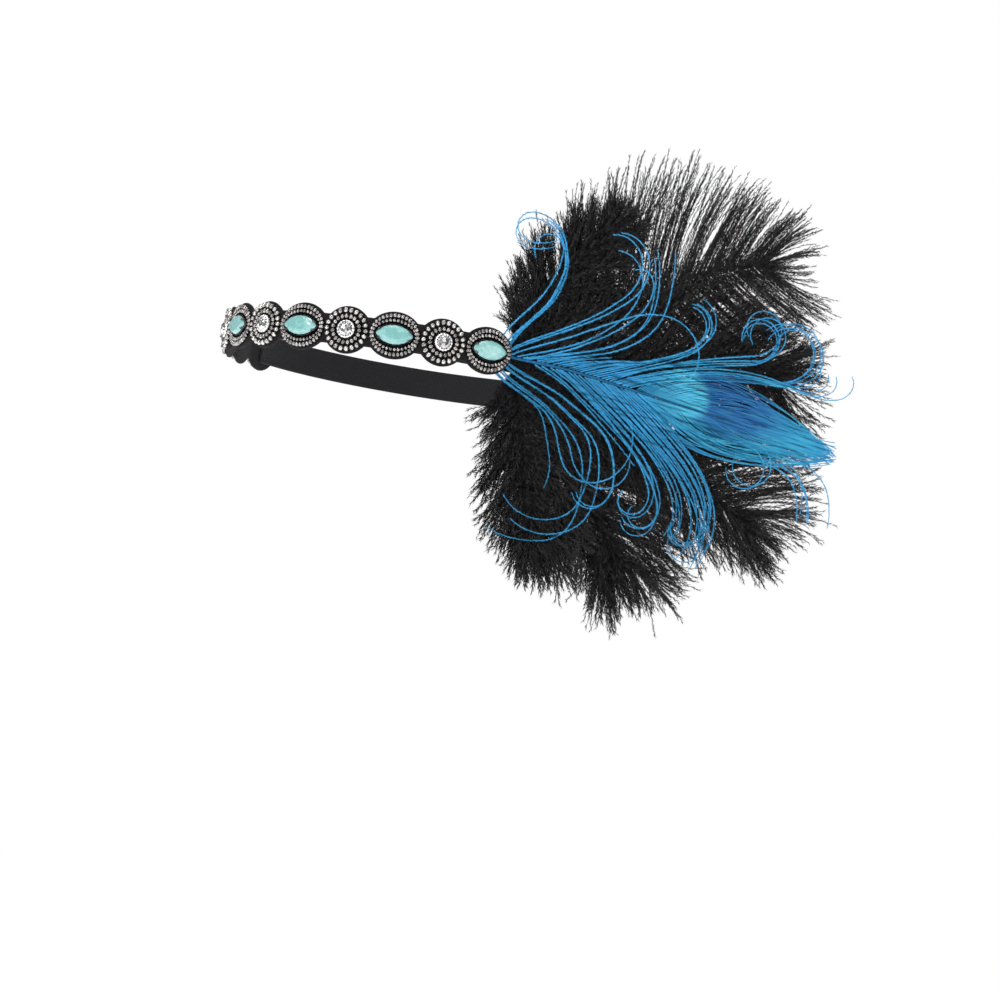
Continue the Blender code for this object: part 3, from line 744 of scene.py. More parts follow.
def bead_tree():
    """Beads threaded on the lines of the base mesh, with a slight unevenness."""
    t = Tree("bead string", (("Spacing", "Float"), ("Diameter", "Float"), ("Squash", "Float"),
                             ("Unevenness", "Float"), ("Seed", "Int"), ("Material", "Material")))
    curve = t.wire("GeometryNodeMeshToCurve", None, {0: t["Geometry"]})
    points = t.wire("GeometryNodeResampleCurve", {"mode": "LENGTH"},
                    {"Curve": curve, "Length": t["Spacing"]})
    bead = t.wire("GeometryNodeMeshUVSphere", None, {"Segments": 10, "Rings": 6, "Radius": 0.5})
    shaded = t.wire("GeometryNodeSetShadeSmooth", None, {"Geometry": bead, "Shade Smooth": True})
    tangent = t.wire("GeometryNodeInputTangent")
    facing = t.wire("FunctionNodeAlignRotationToVector", {"axis": "Z"}, {"Vector": tangent})
    wobble = t.random(1 - t["Unevenness"], 1 + t["Unevenness"], t["Seed"])
    tilt = t.wire("ShaderNodeCombineXYZ", None, {
        "X": t.random(-1.0, 1.0, t["Seed"] + 1) * t["Unevenness"] * 4,
        "Y": t.random(-1.0, 1.0, t["Seed"] + 2) * t["Unevenness"] * 4,
        "Z": t.random(0.0, 2 * pi, t["Seed"] + 3)})
    turned = t.wire("FunctionNodeRotateRotation", {"rotation_space": "LOCAL"},
                    {"Rotation": facing, "Rotate By": t.wire("FunctionNodeEulerToRotation", None,
                                                             {0: tilt})})
    across = t["Diameter"] * wobble
    size = t.wire("ShaderNodeCombineXYZ", None,
                  {"X": across, "Y": across, "Z": t["Diameter"] * t["Squash"]})
    beads = t.wire("GeometryNodeInstanceOnPoints", None, {
        "Points": points, "Instance": shaded, "Rotation": turned, "Scale": size})
    return t.finish([beads])


def barb_tree():
    """Tapered barbs along the base mesh's lines, with fine hairs that lean to the tip."""
    t = Tree("feather barbs", (
        ("Barb Radius", "Float"), ("Barb Taper", "Float"), ("Barb Step", "Float"),
        ("Hair Step", "Float"), ("Hair Length", "Float"), ("Hair Width", "Float"),
        ("Hair Lean", "Float"), ("Hair Tip Share", "Float"), ("Seed", "Int"),
        ("Material", "Material")))
    curve = t.wire("GeometryNodeMeshToCurve", None, {0: t["Geometry"]})
    factor = t.wire("GeometryNodeSplineParameter")
    # the barb itself
    line = t.wire("GeometryNodeResampleCurve", {"mode": "LENGTH"},
                  {"Curve": curve, "Length": t["Barb Step"]})
    girth = t["Barb Radius"] * (1 - factor * t["Barb Taper"])
    round_ = t.wire("GeometryNodeCurvePrimitiveCircle", {"mode": "RADIUS"},
                    {"Resolution": 3, "Radius": 1.0})
    tube = t.wire("GeometryNodeCurveToMesh", None, {
        "Curve": line, "Profile Curve": round_, "Scale": girth, "Fill Caps": True})
    # its hairs
    roots = t.wire("GeometryNodeResampleCurve", {"mode": "LENGTH"},
                   {"Curve": curve, "Length": t["Hair Step"]})
    disc = t.wire("GeometryNodeMeshCircle", {"fill_type": "NGON"}, {"Vertices": 3, "Radius": 2 / 3})
    hair = t.wire("GeometryNodeTransform", None, {
        "Geometry": disc, "Translation": (1 / 3, 0, 0), "Scale": (1, 0.866, 1)})
    tangent = t.wire("GeometryNodeInputTangent")
    facing = t.wire("FunctionNodeAlignRotationToVector", {"axis": "X"}, {"Vector": tangent})
    roll = t.wire("ShaderNodeCombineXYZ", None, {"X": t.random(0.0, 2 * pi, t["Seed"])})
    rolled = t.wire("FunctionNodeRotateRotation", {"rotation_space": "LOCAL"}, {
        "Rotation": facing, "Rotate By": t.wire("FunctionNodeEulerToRotation", None, {0: roll})})
    lean = t["Hair Lean"] * t.random(0.55, 1.45, t["Seed"] + 1)
    leaning = t.wire("ShaderNodeCombineXYZ", None, {"Z": lean})
    turned = t.wire("FunctionNodeRotateRotation", {"rotation_space": "LOCAL"}, {
        "Rotation": rolled, "Rotate By": t.wire("FunctionNodeEulerToRotation", None, {0: leaning})})
    shrink = 1 - factor ** 2.0 * (1 - t["Hair Tip Share"])
    long = t["Hair Length"] * t.random(0.6, 1.25, t["Seed"] + 2) * shrink
    size = t.wire("ShaderNodeCombineXYZ", None, {"X": long, "Y": t["Hair Width"], "Z": 1.0})
    hairs = t.wire("GeometryNodeInstanceOnPoints", None, {
        "Points": roots, "Instance": hair, "Rotation": turned, "Scale": size})
    return t.finish([tube, hairs])


def felt_finish(colour):
    """Matted wool: fine fibres over slow clouds."""
    f = Finish("felt", Roughness=0.95, Sheen_Weight=0.05, Sheen_Roughness=0.6,
               Specular_IOR_Level=0.10)
    spot = f.place()
    fine = f.noise(spot, 2600, 4, 0.7)
    cloud = f.noise(spot, 260, 3, 0.6)
    light = toned(colour, 1.9, 0.003)
    f.feed("Base Color", f.mix(f.spread(fine + cloud * 0.5, 0.5, 1.05), colour, light))
    f.bump(fine + cloud * 0.6, 0.35 * MM, 0.8)
    return f.material


def elastic_finish(colour):
    """Woven elastic: crossing threads in the piece's own map, u along it and v across."""
    f = Finish("elastic", Roughness=0.8, Sheen_Weight=0.04, Specular_IOR_Level=0.15)
    uv = f.node("ShaderNodeUVMap", {"uv_map": "weave"}).outputs[0]
    wave = f.node("ShaderNodeTexWave", {"wave_type": "BANDS", "bands_direction": "X",
                                        "wave_profile": "SIN"},
                  {"Vector": uv, "Scale": 1.0, "Distortion": 0.3, "Detail": 1.0})
    threads = f.wire(wave, 1)
    fuzz = f.noise(f.place(), 3000, 3, 0.6)
    light = toned(colour, 2.4, 0.004)
    f.feed("Base Color", f.mix(f.spread(threads * 0.7 + fuzz * 0.5, 0.25, 1.0), colour, light))
    f.bump(threads + fuzz * 0.4, 0.16 * MM, 0.7)
    return f.material


def metal_finish(name, colour, rough, wear):
    """Cast metal with faint wear: lighter and darker clouds, and fine unevenness."""
    f = Finish(name, Metallic=1.0)
    spot = f.place()
    cloud = f.noise(spot, 900, 3, 0.6)
    dark = toned(colour, 1 - wear)
    f.feed("Base Color", f.mix(f.spread(cloud, 0.35, 0.65), dark, colour))
    f.feed("Roughness", rough + 0.12 * f.noise(spot, 1800, 2, 0.5))
    f.bump(cloud, 0.05 * MM, 0.4)
    return f.material


def bead_finish(name, colour, metallic, rough, blush):
    """Glass seed bead with a mirror lining; the tone drifts from bead to bead."""
    f = Finish(name, Metallic=metallic, Coat_Weight=0.8, Coat_Roughness=0.04)
    spot = f.place()
    tone = f.noise(spot, 420, 1, 0.5)
    warm = tuple(min(1.0, c * k) for c, k in zip(colour, blush))
    dark = toned(colour, 0.45)
    f.feed("Base Color", f.mix(f.spread(tone, 0.5, 0.72),
                               f.mix(f.spread(tone, 0.34, 0.5), dark, colour), warm))
    f.feed("Roughness", rough + 0.10 * f.noise(spot, 1500, 2, 0.5))
    return f.material


def stone_finish(colour, milk):
    """Opal glass: milky clouds that run along the stone under a clear polished face."""
    f = Finish("stone", Roughness=0.2, Coat_Weight=0.8, Coat_Roughness=0.03,
               Specular_IOR_Level=0.6)
    spot = f.place()
    cloud = f.noise(spot, 230, 3, 0.5, 0.8)
    vein = f.noise(spot, 900, 2, 0.5, 2.0)
    base = f.mix(f.spread(cloud, 0.36, 0.62), toned(colour, 0.92), colour)
    f.feed("Base Color", f.mix(f.spread(cloud * 0.7 + vein * 0.3, 0.46, 0.68), base, milk))
    return f.material


def crystal_finish(colour):
    """Foil backed cut crystal: the facets underneath break the light into small mirrors."""
    f = Finish("crystal", Metallic=1.0, Roughness=0.06, Coat_Weight=1.0, Coat_Roughness=0.02)
    spot = f.place()
    cells = f.node("ShaderNodeTexVoronoi", {"feature": "F1", "voronoi_dimensions": "3D"},
                   {"Vector": spot, "Scale": 760.0})
    tilt = f.node("ShaderNodeVectorMath", {"operation": "SUBTRACT"},
                  {0: cells.outputs["Color"], 1: (0.5, 0.5, 0.5)})
    lean = f.node("ShaderNodeVectorMath", {"operation": "SCALE"},
                  {0: tilt.outputs[0], "Scale": 0.75})
    face = f.node("ShaderNodeNewGeometry").outputs["True Normal"]
    both = f.node("ShaderNodeVectorMath", {"operation": "ADD"}, {0: face, 1: lean.outputs[0]})
    unit = f.node("ShaderNodeVectorMath", {"operation": "NORMALIZE"}, {0: both.outputs[0]})
    f.feed("Normal", unit.outputs[0])
    shade = f.wire(f.node("ShaderNodeSeparateColor", None, {0: cells.outputs["Color"]}), 1)
    f.feed("Base Color", f.mix(f.spread(shade, 0.15, 0.6), toned(colour, 0.32), colour))
    return f.material


def ostrich_finish(colour, tone_and_glint):
    """Black down with a warmer, lighter tone in clouds and from strand to strand: partly the plumes' own
    tone, partly painted glints of sheen.
    """
    f = Finish("ostrich", Roughness=0.45, Specular_IOR_Level=0.32)
    spot = f.place()
    cloud = f.noise(spot, 90, 3, 0.6)
    strand = f.noise(spot, 1400, 1, 0.5)
    # painted glint: a lighter warm colour over clouds and strands, partly the plumes' own tone
    f.feed("Base Color", f.mix(f.spread(cloud * 0.5 + strand * 0.5, 0.42, 0.66), colour, tone_and_glint))
    return f.material


def spray_axes(f):
    """Distances back from the band's end and up, in millimetres, from Object coordinates."""
    spot = f.place()
    along = f.node("ShaderNodeVectorMath", {"operation": "DOT_PRODUCT"},
                   {0: spot, 1: tuple(END_ALONG / MM)})
    back = Wire(f.tree, along.outputs["Value"]) - END_SPOT.dot(END_ALONG) / MM
    up = f.wire(f.node("ShaderNodeSeparateXYZ", None, {0: spot}), 2) / MM
    return back, up


def peacock_finish(colour, light, deep):
    """Dyed vane: blue barbs, a turquoise lobe and a royal blue oval in the eye; painted shade near the
    root, over the lower herls and in dark streaks between the barbs.
    """
    f = Finish("peacock", Roughness=0.55, Specular_IOR_Level=0.18)
    back, up = spray_axes(f)

    def lens(p, q, long, high, soft, slope):
        u = (back - p) / long
        v = (up - q - (back - p) * slope) / high
        return f.spread((u * u + v * v) ** 0.5, 1.0 + soft, 1.0 - soft)

    dark = toned(colour, 0.30)
    glow = toned(light, 1.3, 0.05)
    pale = toned(colour, 1.35, 0.03)
    grain = f.node("ShaderNodeCombineXYZ", None, {0: back * 0.03, 1: up * 0.5 + back * 0.07})
    streak = f.noise(grain.outputs[0], 1.6, 2, 0.6)
    cloud = f.noise(f.place(), 60, 3, 0.6)
    base = f.mix(f.spread(cloud * 0.5 + streak * 0.5, 0.36, 0.62), colour, pale)
    rim = f.mix(f.spread(streak, 0.35, 0.65), colour, light)
    royal = f.mix(f.spread(streak, 0.38, 0.62), deep, f.mix(0.35, deep, light))
    body = f.mix(lens(*EYE_OVAL), f.mix(lens(*EYE_HALO), base, rim), royal)
    lobe = f.mix(lens(*EYE_LOBE), body, f.mix(f.spread(streak, 0.40, 0.62), light, glow))
    heart = f.mix(lens(*EYE_HEART) * 0.5, lobe, colour)
    # painted shade: darker towards the feather's root and below its shaft
    root = f.spread(back, 62, 20) * f.spread(up, 4, -6) * 0.35
    # painted shade over the lower herls
    low = lens(*LOW_SHADE) * 0.45
    shade = f.mix(low, f.mix(root, heart, dark), toned(colour, 0.5))
    # painted shade: dark streaks along the grain stand for the shaded gaps between barbs
    f.feed("Base Color", f.mix(f.spread(streak, 0.46, 0.32) * 0.8, shade, dark))
    return f.material


def quill_finish(name, colour):
    """Dyed horn of a feather's shaft."""
    f = Finish(name, Roughness=0.7, Specular_IOR_Level=0.1)
    grain = f.noise(f.place(), 700, 2, 0.5)
    f.feed("Base Color", f.mix(f.spread(grain, 0.35, 0.65), toned(colour, 0.6), colour))
    return f.material


def settled(name, mesh, nodes):
    """Put a finished mesh on the body in place of its CAD nodes."""
    ob = bpy.data.objects.new(name, mesh)
    bpy.context.scene.collection.objects.link(ob)
    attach(ob, BODY)
    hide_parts(*nodes)
    return ob


def mesh_from(name, bm, mat, angle=None):
    """Finished mesh; with an angle, edges flatter than that many degrees look round."""
    bmesh.ops.recalc_face_normals(bm, faces=bm.faces)
    mesh = bpy.data.meshes.new(name)
    bm.to_mesh(mesh)
    bm.free()
    mesh.materials.append(mat)
    if angle is not None:
        mesh.shade_smooth()
        mesh.set_sharp_from_angle(angle=radians(angle))
    return mesh


def lines_mesh(name, lines, closed=False):
    """Mesh of bare edges, one chain for each line of points."""
    verts = []
    edges = []
    for line in lines:
        first = len(verts)
        verts += [tuple(p) for p in line]
        edges += [(first + i, first + i + 1) for i in range(len(line) - 1)]
        if closed:
            edges.append((len(verts) - 1, first))
    mesh = bpy.data.meshes.new(name)
    mesh.from_pydata(verts, edges, [])
    return mesh


def stack(bm, rings, place=None, facets=False):
    """Join rings of points from first to last and close both ends; place puts each point."""
    made = [[bm.verts.new(place(*p) if place else p) for p in ring] for ring in rings]
    count = len(made[0])
    for low, high in zip(made, made[1:]):
        for j in range(count):
            k = (j + 1) % count
            if facets:
                bm.faces.new((low[j], low[k], high[j]))
                bm.faces.new((high[j], low[k], high[k]))
            else:
                bm.faces.new((low[j], low[k], high[k], high[j]))
    bm.faces.new(list(reversed(made[0])))
    bm.faces.new(made[-1])


def felt_mesh(mat, edge):
    """Scalloped strip of felt with softly rounded cut edges."""
    count = 460
    # how far the sections crowd together towards the round ends
    crowd = 0.35
    sections = []
    for i in range(count + 1):
        share = i / count
        s = FELT_REACH * ((2 * share - 1) * (1 - crowd) - cos(pi * share) * crowd)
        tall = felt_half_height(s) - FELT_INSET
        base = felt_out(s)
        corner = min(edge, 0.45 * tall)
        loop = []
        for w0, side, turns in ((FELT_THICK - edge, 1, (0, 45, 90)),
                                (FELT_THICK - edge, -1, (90, 135, 180)),
                                (edge, -1, (180, 225, 270)), (edge, 1, (270, 315, 360))):
            for turn in turns:
                a = radians(turn)
                loop.append((side * (tall - corner) + corner * cos(a), w0 + edge * sin(a)))
        inner = [loop[j] for j in range(len(loop)) if j == 0 or loop[j] != loop[j - 1]]
        sections.append([LINE.at(s, v, base + w) for v, w in inner])
    bm = bmesh.new()
    stack(bm, sections)
    return mesh_from("felt", bm, mat, angle=60)


def elastic_mesh(mat, ribs):
    """Ribbed elastic strap whose ends lie behind the felt."""
    start = BAND_END - ELASTIC_TUCK_LEFT
    stop = LINE.around - (BAND_END - ELASTIC_TUCK_RIGHT)
    count = 150
    fine = ribs * 4
    sections = []
    for i in range(count + 1):
        s = start + (stop - start) * i / count
        loop = []
        for side, order in ((1, 1), (-1, -1)):
            for j in range(fine + 1):
                v = order * (2 * j / fine - 1)
                dip = RIB_GROOVE * (0.5 + 0.5 * cos(2 * pi * ribs * (v + 1) / 2))
                edge = 0.22 * ELASTIC_THICK if j in (0, fine) else 0.0
                w = ELASTIC_THICK - dip - edge if side > 0 else dip + edge
                loop.append((v * ELASTIC_HALF_HEIGHT, w))
        sections.append([LINE.at(s, v, w) for v, w in loop])
    bm = bmesh.new()
    stack(bm, sections)
    mesh = mesh_from("elastic", bm, mat, angle=70)
    uv = mesh.uv_layers.new(name="weave")
    length = stop - start
    width = 2 * fine + 2
    for loop in mesh.loops:
        row, place = divmod(loop.vertex_index, width)
        uv.data[loop.index].uv = (row / count * length / THREAD_PITCH / 2, place / width)
    return mesh


def navette_stone_mesh(k, mat):
    """Pointed oval stone: low back, girdle, two rows of crown facets and a table."""
    long, high = NAVETTE_STONE
    # shares of the stone's length, height and top, and the ring's turn in steps
    levels = ((0.80, 0.70, 0.26, 0), (1.0, 1.0, 0.50, 0), (1.0, 1.0, 0.58, 0),
              (0.90, 0.87, 0.79, 0.5), (0.78, 0.71, 0.93, 0), (0.60, 0.50, 1.0, 0.5))
    rings = [[(u, v, top * STONE_TOP)
              for u, v in oval(long * a, high * b, 20, NAVETTE_POINT, turn)]
             for a, b, top, turn in levels]
    bm = bmesh.new()
    stack(bm, rings, flat_place(k), facets=True)
    return mesh_from("stone", bm, mat)


def navette_setting_mesh(k, mat):
    """Cup of dark metal whose rim rises into four claws that lean over the stone."""
    long, high = NAVETTE_STONE
    count = 60
    # the claws' places and half width, in steps of which the rim has 20
    steps = 20
    claws = (2, 8, 12, 18)
    claw_half = 0.62
    # wall's share out from its inner side and share of the stone's top, then both at a claw
    profile = ((0, 0, 0, 0), (1, 0.15, 1.5, 0.18), (1.0, 0.36, 1.9, 0.5), (0.85, 0.44, 1.85, 0.79),
               (0.5, 0.50, 0.8, 0.94), (0.35, 0.51, -1.5, 0.97), (0.1, 0.49, -1.3, 0.86),
               (0, 0.47, 0, 0.56), (-2, 0.15, -2, 0.15))
    rings = []
    for wall, level, claw_wall, claw_level in profile:
        ring = []
        for j in range(count):
            here = j / count * steps
            near = min(abs((here - c + steps / 2) % steps - steps / 2) for c in claws)
            rise = smooth(1.0 - near / claw_half)
            reach = GAP + (wall + (claw_wall - wall) * rise) * SETTING_WALL
            angle = 2 * pi * j / count
            u = (long + reach) * cos(angle)
            v = (high + reach) * sin(angle) * abs(sin(angle)) ** NAVETTE_POINT
            ring.append((u, v, (level + (claw_level - level) * rise) * STONE_TOP))
        rings.append(ring)
    bm = bmesh.new()
    stack(bm, rings, flat_place(k))
    return mesh_from("setting", bm, mat, angle=50)


def brilliant_mesh(k, mat):
    """Round cut crystal: eight sided table, stars, mains, girdle and a short back."""
    # shares of the radius and top, and the ring's turn in steps
    levels = ((0.45, 0.27, 0), (0.97, 0.55, 0), (1.0, 0.60, 0), (1.0, 0.66, 0),
              (0.86, 0.84, 0.5), (0.58, 1.0, 0))
    rings = [[(u, v, top * CRYSTAL_TOP) for u, v in oval(CRYSTAL_RADIUS * a, CRYSTAL_RADIUS * a,
                                                        16, 0.0, turn)]
             for a, top, turn in levels]
    bm = bmesh.new()
    stack(bm, rings, flat_place(k), facets=True)
    return mesh_from("crystal", bm, mat)


def crystal_cup_mesh(k, mat):
    """Flared cup, its rim cut into small prongs that hold the crystal."""
    count = 64
    prongs = 16
    # share of the cup's wall out from its inner side, and share of the crystal's top; the
    # prongs rise from the fourth of these rings to the eighth
    profile = ((0.38, 0.0), (1.0, 0.26), (0.97, 0.36), (0.81, 0.46), (0.55, 0.57), (0.31, 0.60),
               (0.08, 0.60), (0.0, 0.54), (-1.25, 0.14))
    rings = []
    for n, (wall, level) in enumerate(profile):
        ring = []
        for j in range(count):
            angle = 2 * pi * j / count
            crest = 0.5 + 0.5 * cos(prongs * angle)
            lift = 0.12 * crest if 3 <= n <= 7 else 0.0
            lean = -0.5 * crest if 5 <= n <= 7 else 0.1 * crest if n in (1, 2, 3) else 0.0
            radius = CRYSTAL_RADIUS + GAP + (wall + lean) * CUP_WALL
            ring.append((radius * cos(angle), radius * sin(angle), (level + lift) * CRYSTAL_TOP))
        rings.append(ring)
    bm = bmesh.new()
    stack(bm, rings, flat_place(k))
    return mesh_from("cup", bm, mat, angle=50)


def bead_line(k, half_long, half_high, size, point):
    """Closed line on motif k's felt on which a row of beads is threaded."""
    place = bent_place(k)
    return [place(u, v, size * BEAD_SEAT) for u, v in oval(half_long, half_high, 96, point)]


def lock_length(plume, share, side):
    """Length in percent of the barbs at a share of the plume, on one side."""
    long = plume.foot + (plume.mid - plume.foot) * smooth(share / 0.45)
    long += (plume.tip - plume.mid) * smooth((share - 0.55) / 0.45)
    return long * (plume.lower if side < 0 else 1)


def plume_tufts(plume, rule, count):
    """Side, share of the plume, lean and length of each tuft, count of them to a side."""
    tufts = []
    for side, (fuller, growth, further) in ((-1, rule.lower), (1, rule.upper)):
        for i in range(count):
            share = (i + 0.5) / count
            lean = plume.lean_foot + (plume.lean_tip - plume.lean_foot) * share
            reach = lock_length(plume, share, side) * (0.5 + 0.5 * smooth(share / SHORT_FOOT))
            reach *= fuller * (1 + growth * share)
            tufts.append((side, share, side * (lean + further * share), reach))
    for i in range(TIP_TUFTS):
        across = (i + 0.5) / TIP_TUFTS * 2 - 1
        side = 1 if across > 0 else -1
        fuller, growth, further = rule.upper if across > 0 else rule.lower
        reach = TIP_REACH + (fuller * (1 + growth) - TIP_REACH) * across ** 2
        reach *= lock_length(plume, 1.0, side)
        tufts.append((side, TIP_PLACE, across * (plume.lean_tip + further), reach))
    return tufts


def ostrich_lines(plume, rule, fullness, rng):
    """Lines of a plume's barbs, drawn together into tufts towards their tips."""
    count = max(2, round(rule.tufts * fullness))
    stray = rule.stray
    shaft = ostrich_shaft(plume)
    bare = QUILL_TUCK + QUILL_BEND - BARE_OVERLAP
    span = shaft.length - bare
    draw = TUFT_DRAW * min(1.0, stray / TUFT_DRAW_STRAY)
    lines = []
    for side, share, lean, long in plume_tufts(plume, rule, count):
        middle = bare + span * share
        heading = shaft.heading(middle) + lean * TUFT_LEAN + rng.normal(0, stray)
        long *= rng.uniform(0.92, 1.08)
        bend = -side * TUFT_BEND + rng.normal(0, stray)
        depth = rng.uniform(-1.0, 1.0) * PLUME_DEPTH
        foot = shaft.edge(middle, side * BARB_ROOT)
        for j in range(rule.in_tuft + DOWN_BARBS):
            down = j >= rule.in_tuft
            place = rng.uniform(0, 1) if down else (j + 0.5) / rule.in_tuft
            r = middle + span / count * TUFT_WIDE * (place - 0.5)
            root = shaft.edge(min(shaft.length, max(bare, r)), side * BARB_ROOT)
            reach = rng.uniform(*DOWN_LENGTHS) if down else long * rng.uniform(0.74, 1.04)
            sway = rng.normal(0, DOWN_STRAY if down else 1.5 * stray)
            curl = bend + rng.normal(0, 2 * stray)
            bends = ((reach * 0.5, curl * 0.7), (reach * 0.5, curl))
            rise = depth + rng.normal(0, 0.9) * MM
            phase = rng.uniform(0, 2 * pi)
            swing = rng.uniform(0.1, 0.16 * stray) * MM
            line = []
            for p, q, angle, gone in walk(foot, heading + sway * 0.5, bends, reach * PERCENT / 7):
                t = gone / (reach * PERCENT)
                keep = 1 - draw * smooth(t * 1.15)
                off = swing * sin(phase + 5.0 * t) * t
                x = p + (root[0] - foot[0]) * keep - sin(angle) * off
                y = q + (root[1] - foot[1]) * keep + cos(angle) * off
                up = plume.layer * LAYER + rise * smooth(t * 2.5) * (1 + 0.3 * t)
                line.append(spray(x, y, up, shaft.base))
            lines.append(line)
    return lines


def herl_bundle(shaft, row, level, stray, rng):
    """Lines of the herls that make up one strip of the peacock feather."""
    side, place, foot, heading, runs, wide, tip, lift = row
    a = PEACOCK_TUCK + place * PERCENT
    middle = a + foot * PERCENT / 2
    start = shaft.edge(middle, side)
    count = max(1, round(wide / HERL_PITCH))
    lines = []
    for j in range(count):
        across = (j + 0.5) / count - 0.5
        root = shaft.edge(a + foot * PERCENT * (0.5 + across), side)
        turn = 1 + rng.normal(0, stray)
        reach = 1 + rng.normal(0, 0.05)
        phase = rng.uniform(0, 2 * pi)
        swing = rng.uniform(0.1, 0.9) * MM
        path = walk(start, heading + rng.normal(0, 1.0),
                    [(length * reach, bend * turn) for length, bend in runs], HERL_STEP)
        length = path[-1][3]
        rise = rng.normal(0, 0.35) * MM
        line = []
        for p, q, angle, gone in path:
            t = gone / length
            near = 1 - smooth(gone / HERL_PART)
            half = (wide + (tip - wide) * t ** 1.5) * PERCENT * across * -side * (1 - near)
            half += swing * sin(phase + 6 * t) * t
            x = p + (root[0] - start[0]) * near - sin(angle) * half
            y = q + (root[1] - start[1]) * near + cos(angle) * half
            up = lift * MM * smooth(gone / HERL_RISE) + CURL_RISE * t * t + rise * smooth(t * 3)
            line.append(spray(x, y, level + up, shaft.base))
        lines.append(line)
    return lines


def eye_lines(shaft, level, barbs, rng):
    """Lines of the close barbs that form the eye, one row on each side of the shaft."""
    lines = []
    for side, place in EYE_SIDES:
        start = PEACOCK_TUCK + place * PERCENT
        for i in range(barbs + TIP_BARBS):
            share = min(1.0, (i + 0.5) / barbs)
            r = start + (shaft.length - start) * share
            lean = EYE_LEAN * (1 - share) + EYE_TIP_LEAN
            rest = EYE_TIP_PLACE - place - (r - start) / PERCENT
            long = rest * (1 + 0.1 * (1 - share)) * rng.uniform(0.8, 1.05)
            heading = shaft.heading(r) + side * lean + rng.normal(0, 0.5 + 3.5 * share ** 4)
            last = lean * (0.66 if side > 0 else 0.54) + rng.normal(0, 2.5)
            bends = ((long * 0.45, -side * lean * 1.05), (long * 0.55, -side * last))
            rise = rng.uniform(-0.22, 0.22) * MM
            line = []
            for p, q, angle, gone in walk(shaft.edge(r, side), heading, bends, EYE_STEP):
                line.append(spray(p, q, level + rise * smooth(gone / (5 * MM)), shaft.base))
            lines.append(line)
    return lines


def shaft_mesh(name, shaft, level, girth, mat):
    """Tapered quill along a shaft, a little flattened."""
    count = 70
    sections = []
    for i in range(count + 1):
        r = shaft.length * i / count
        p, q, angle = shaft.at(r)
        half = girth * (1 - 0.8 * (i / count) ** 1.3)
        loop = []
        for j in range(8):
            a = 2 * pi * j / 8
            x = p - sin(angle) * half * cos(a)
            y = q + cos(angle) * half * cos(a)
            loop.append(spray(x, y, level, shaft.base + half * 0.6 * sin(a)))
        sections.append(loop)
    bm = bmesh.new()
    stack(bm, sections)
    return mesh_from(name, bm, mat, angle=60)


def join_meshes(name, meshes):
    """One mesh out of several, each with its own material slots kept."""
    bm = bmesh.new()
    slots = []
    for mesh in meshes:
        moved = {}
        for i, mat in enumerate(mesh.materials):
            if mat not in slots:
                slots.append(mat)
            moved[i] = slots.index(mat)
        first = len(bm.faces)
        bm.from_mesh(mesh)
        bm.faces.ensure_lookup_table()
        for face in bm.faces[first:]:
            face.material_index = moved.get(face.material_index, 0)
        bpy.data.meshes.remove(mesh)
    made = bpy.data.meshes.new(name)
    bm.to_mesh(made)
    bm.free()
    for mat in slots:
        made.materials.append(mat)
    return made


def flat_map(mesh):
    """Map of the spray's plane for feathers, so that stacked hairs share their colour."""
    spots = np.zeros(len(mesh.vertices) * 3, np.float32)
    mesh.vertices.foreach_get("co", spots)
    spots = spots.reshape(-1, 3).astype(float)
    back = spots @ np.array(END_ALONG) - END_SPOT.dot(END_ALONG)
    u = (back / MM + MAP_BEFORE) / MAP_SIDE
    v = (spots[:, 2] / MM + MAP_BELOW) / MAP_SIDE
    corner = np.zeros(len(mesh.loops), np.int32)
    mesh.loops.foreach_get("vertex_index", corner)
    layer = mesh.uv_layers.new(name="OFBake")
    layer.data.foreach_set("uv", np.stack([u[corner], v[corner]], 1).astype(np.float32).ravel())


class HEADPIECE_OT_felt(bpy.types.Operator):
    """Cut the scalloped felt base."""
    bl_idname = "headpiece.felt"
    bl_label = "Felt Band"

    def execute(self, context):
        band = context.scene.headpiece_band
        mat = felt_finish(tuple(band.felt_colour))
        settled("felt", felt_mesh(mat, band.felt_round), ["felt_band"])
        return {"FINISHED"}


class HEADPIECE_OT_elastic(bpy.types.Operator):
    """Weave the elastic and stitch its ends to the felt."""
    bl_idname = "headpiece.elastic"
    bl_label = "Elastic"

    def execute(self, context):
        band = context.scene.headpiece_band
        mat = elastic_finish(tuple(band.elastic_colour))
        mesh = elastic_mesh(mat, band.elastic_ribs)
        rows = []
        left = (BAND_END - ELASTIC_TUCK_LEFT + STITCH_INSET, BAND_END - STITCH_FELT_INSET)
        right = (-BAND_END + STITCH_FELT_INSET, -BAND_END + ELASTIC_TUCK_RIGHT - STITCH_INSET)
        for s0, s1 in (left, right):
            for up in (-STITCH_HEIGHT_SHARE, STITCH_HEIGHT_SHARE):
                rows.append([LINE.at(s0 + (s1 - s0) * i / 12, up * ELASTIC_HALF_HEIGHT, -0.02 * MM)
                             for i in range(13)])
        thread = bead_tree().grow("stitches", lines_mesh("stitches", rows),
                                  Spacing=STITCH_PITCH, Diameter=STITCH_THICK, Squash=3.6,
                                  Unevenness=0.05, Seed=3, Material=mat)
        settled("elastic", mesh, ["elastic_band"])
        stitches = settled("stitches", thread, [])
        if not stitches.data.polygons:
            raise RuntimeError("the stitches came out empty")
        return {"FINISHED"}


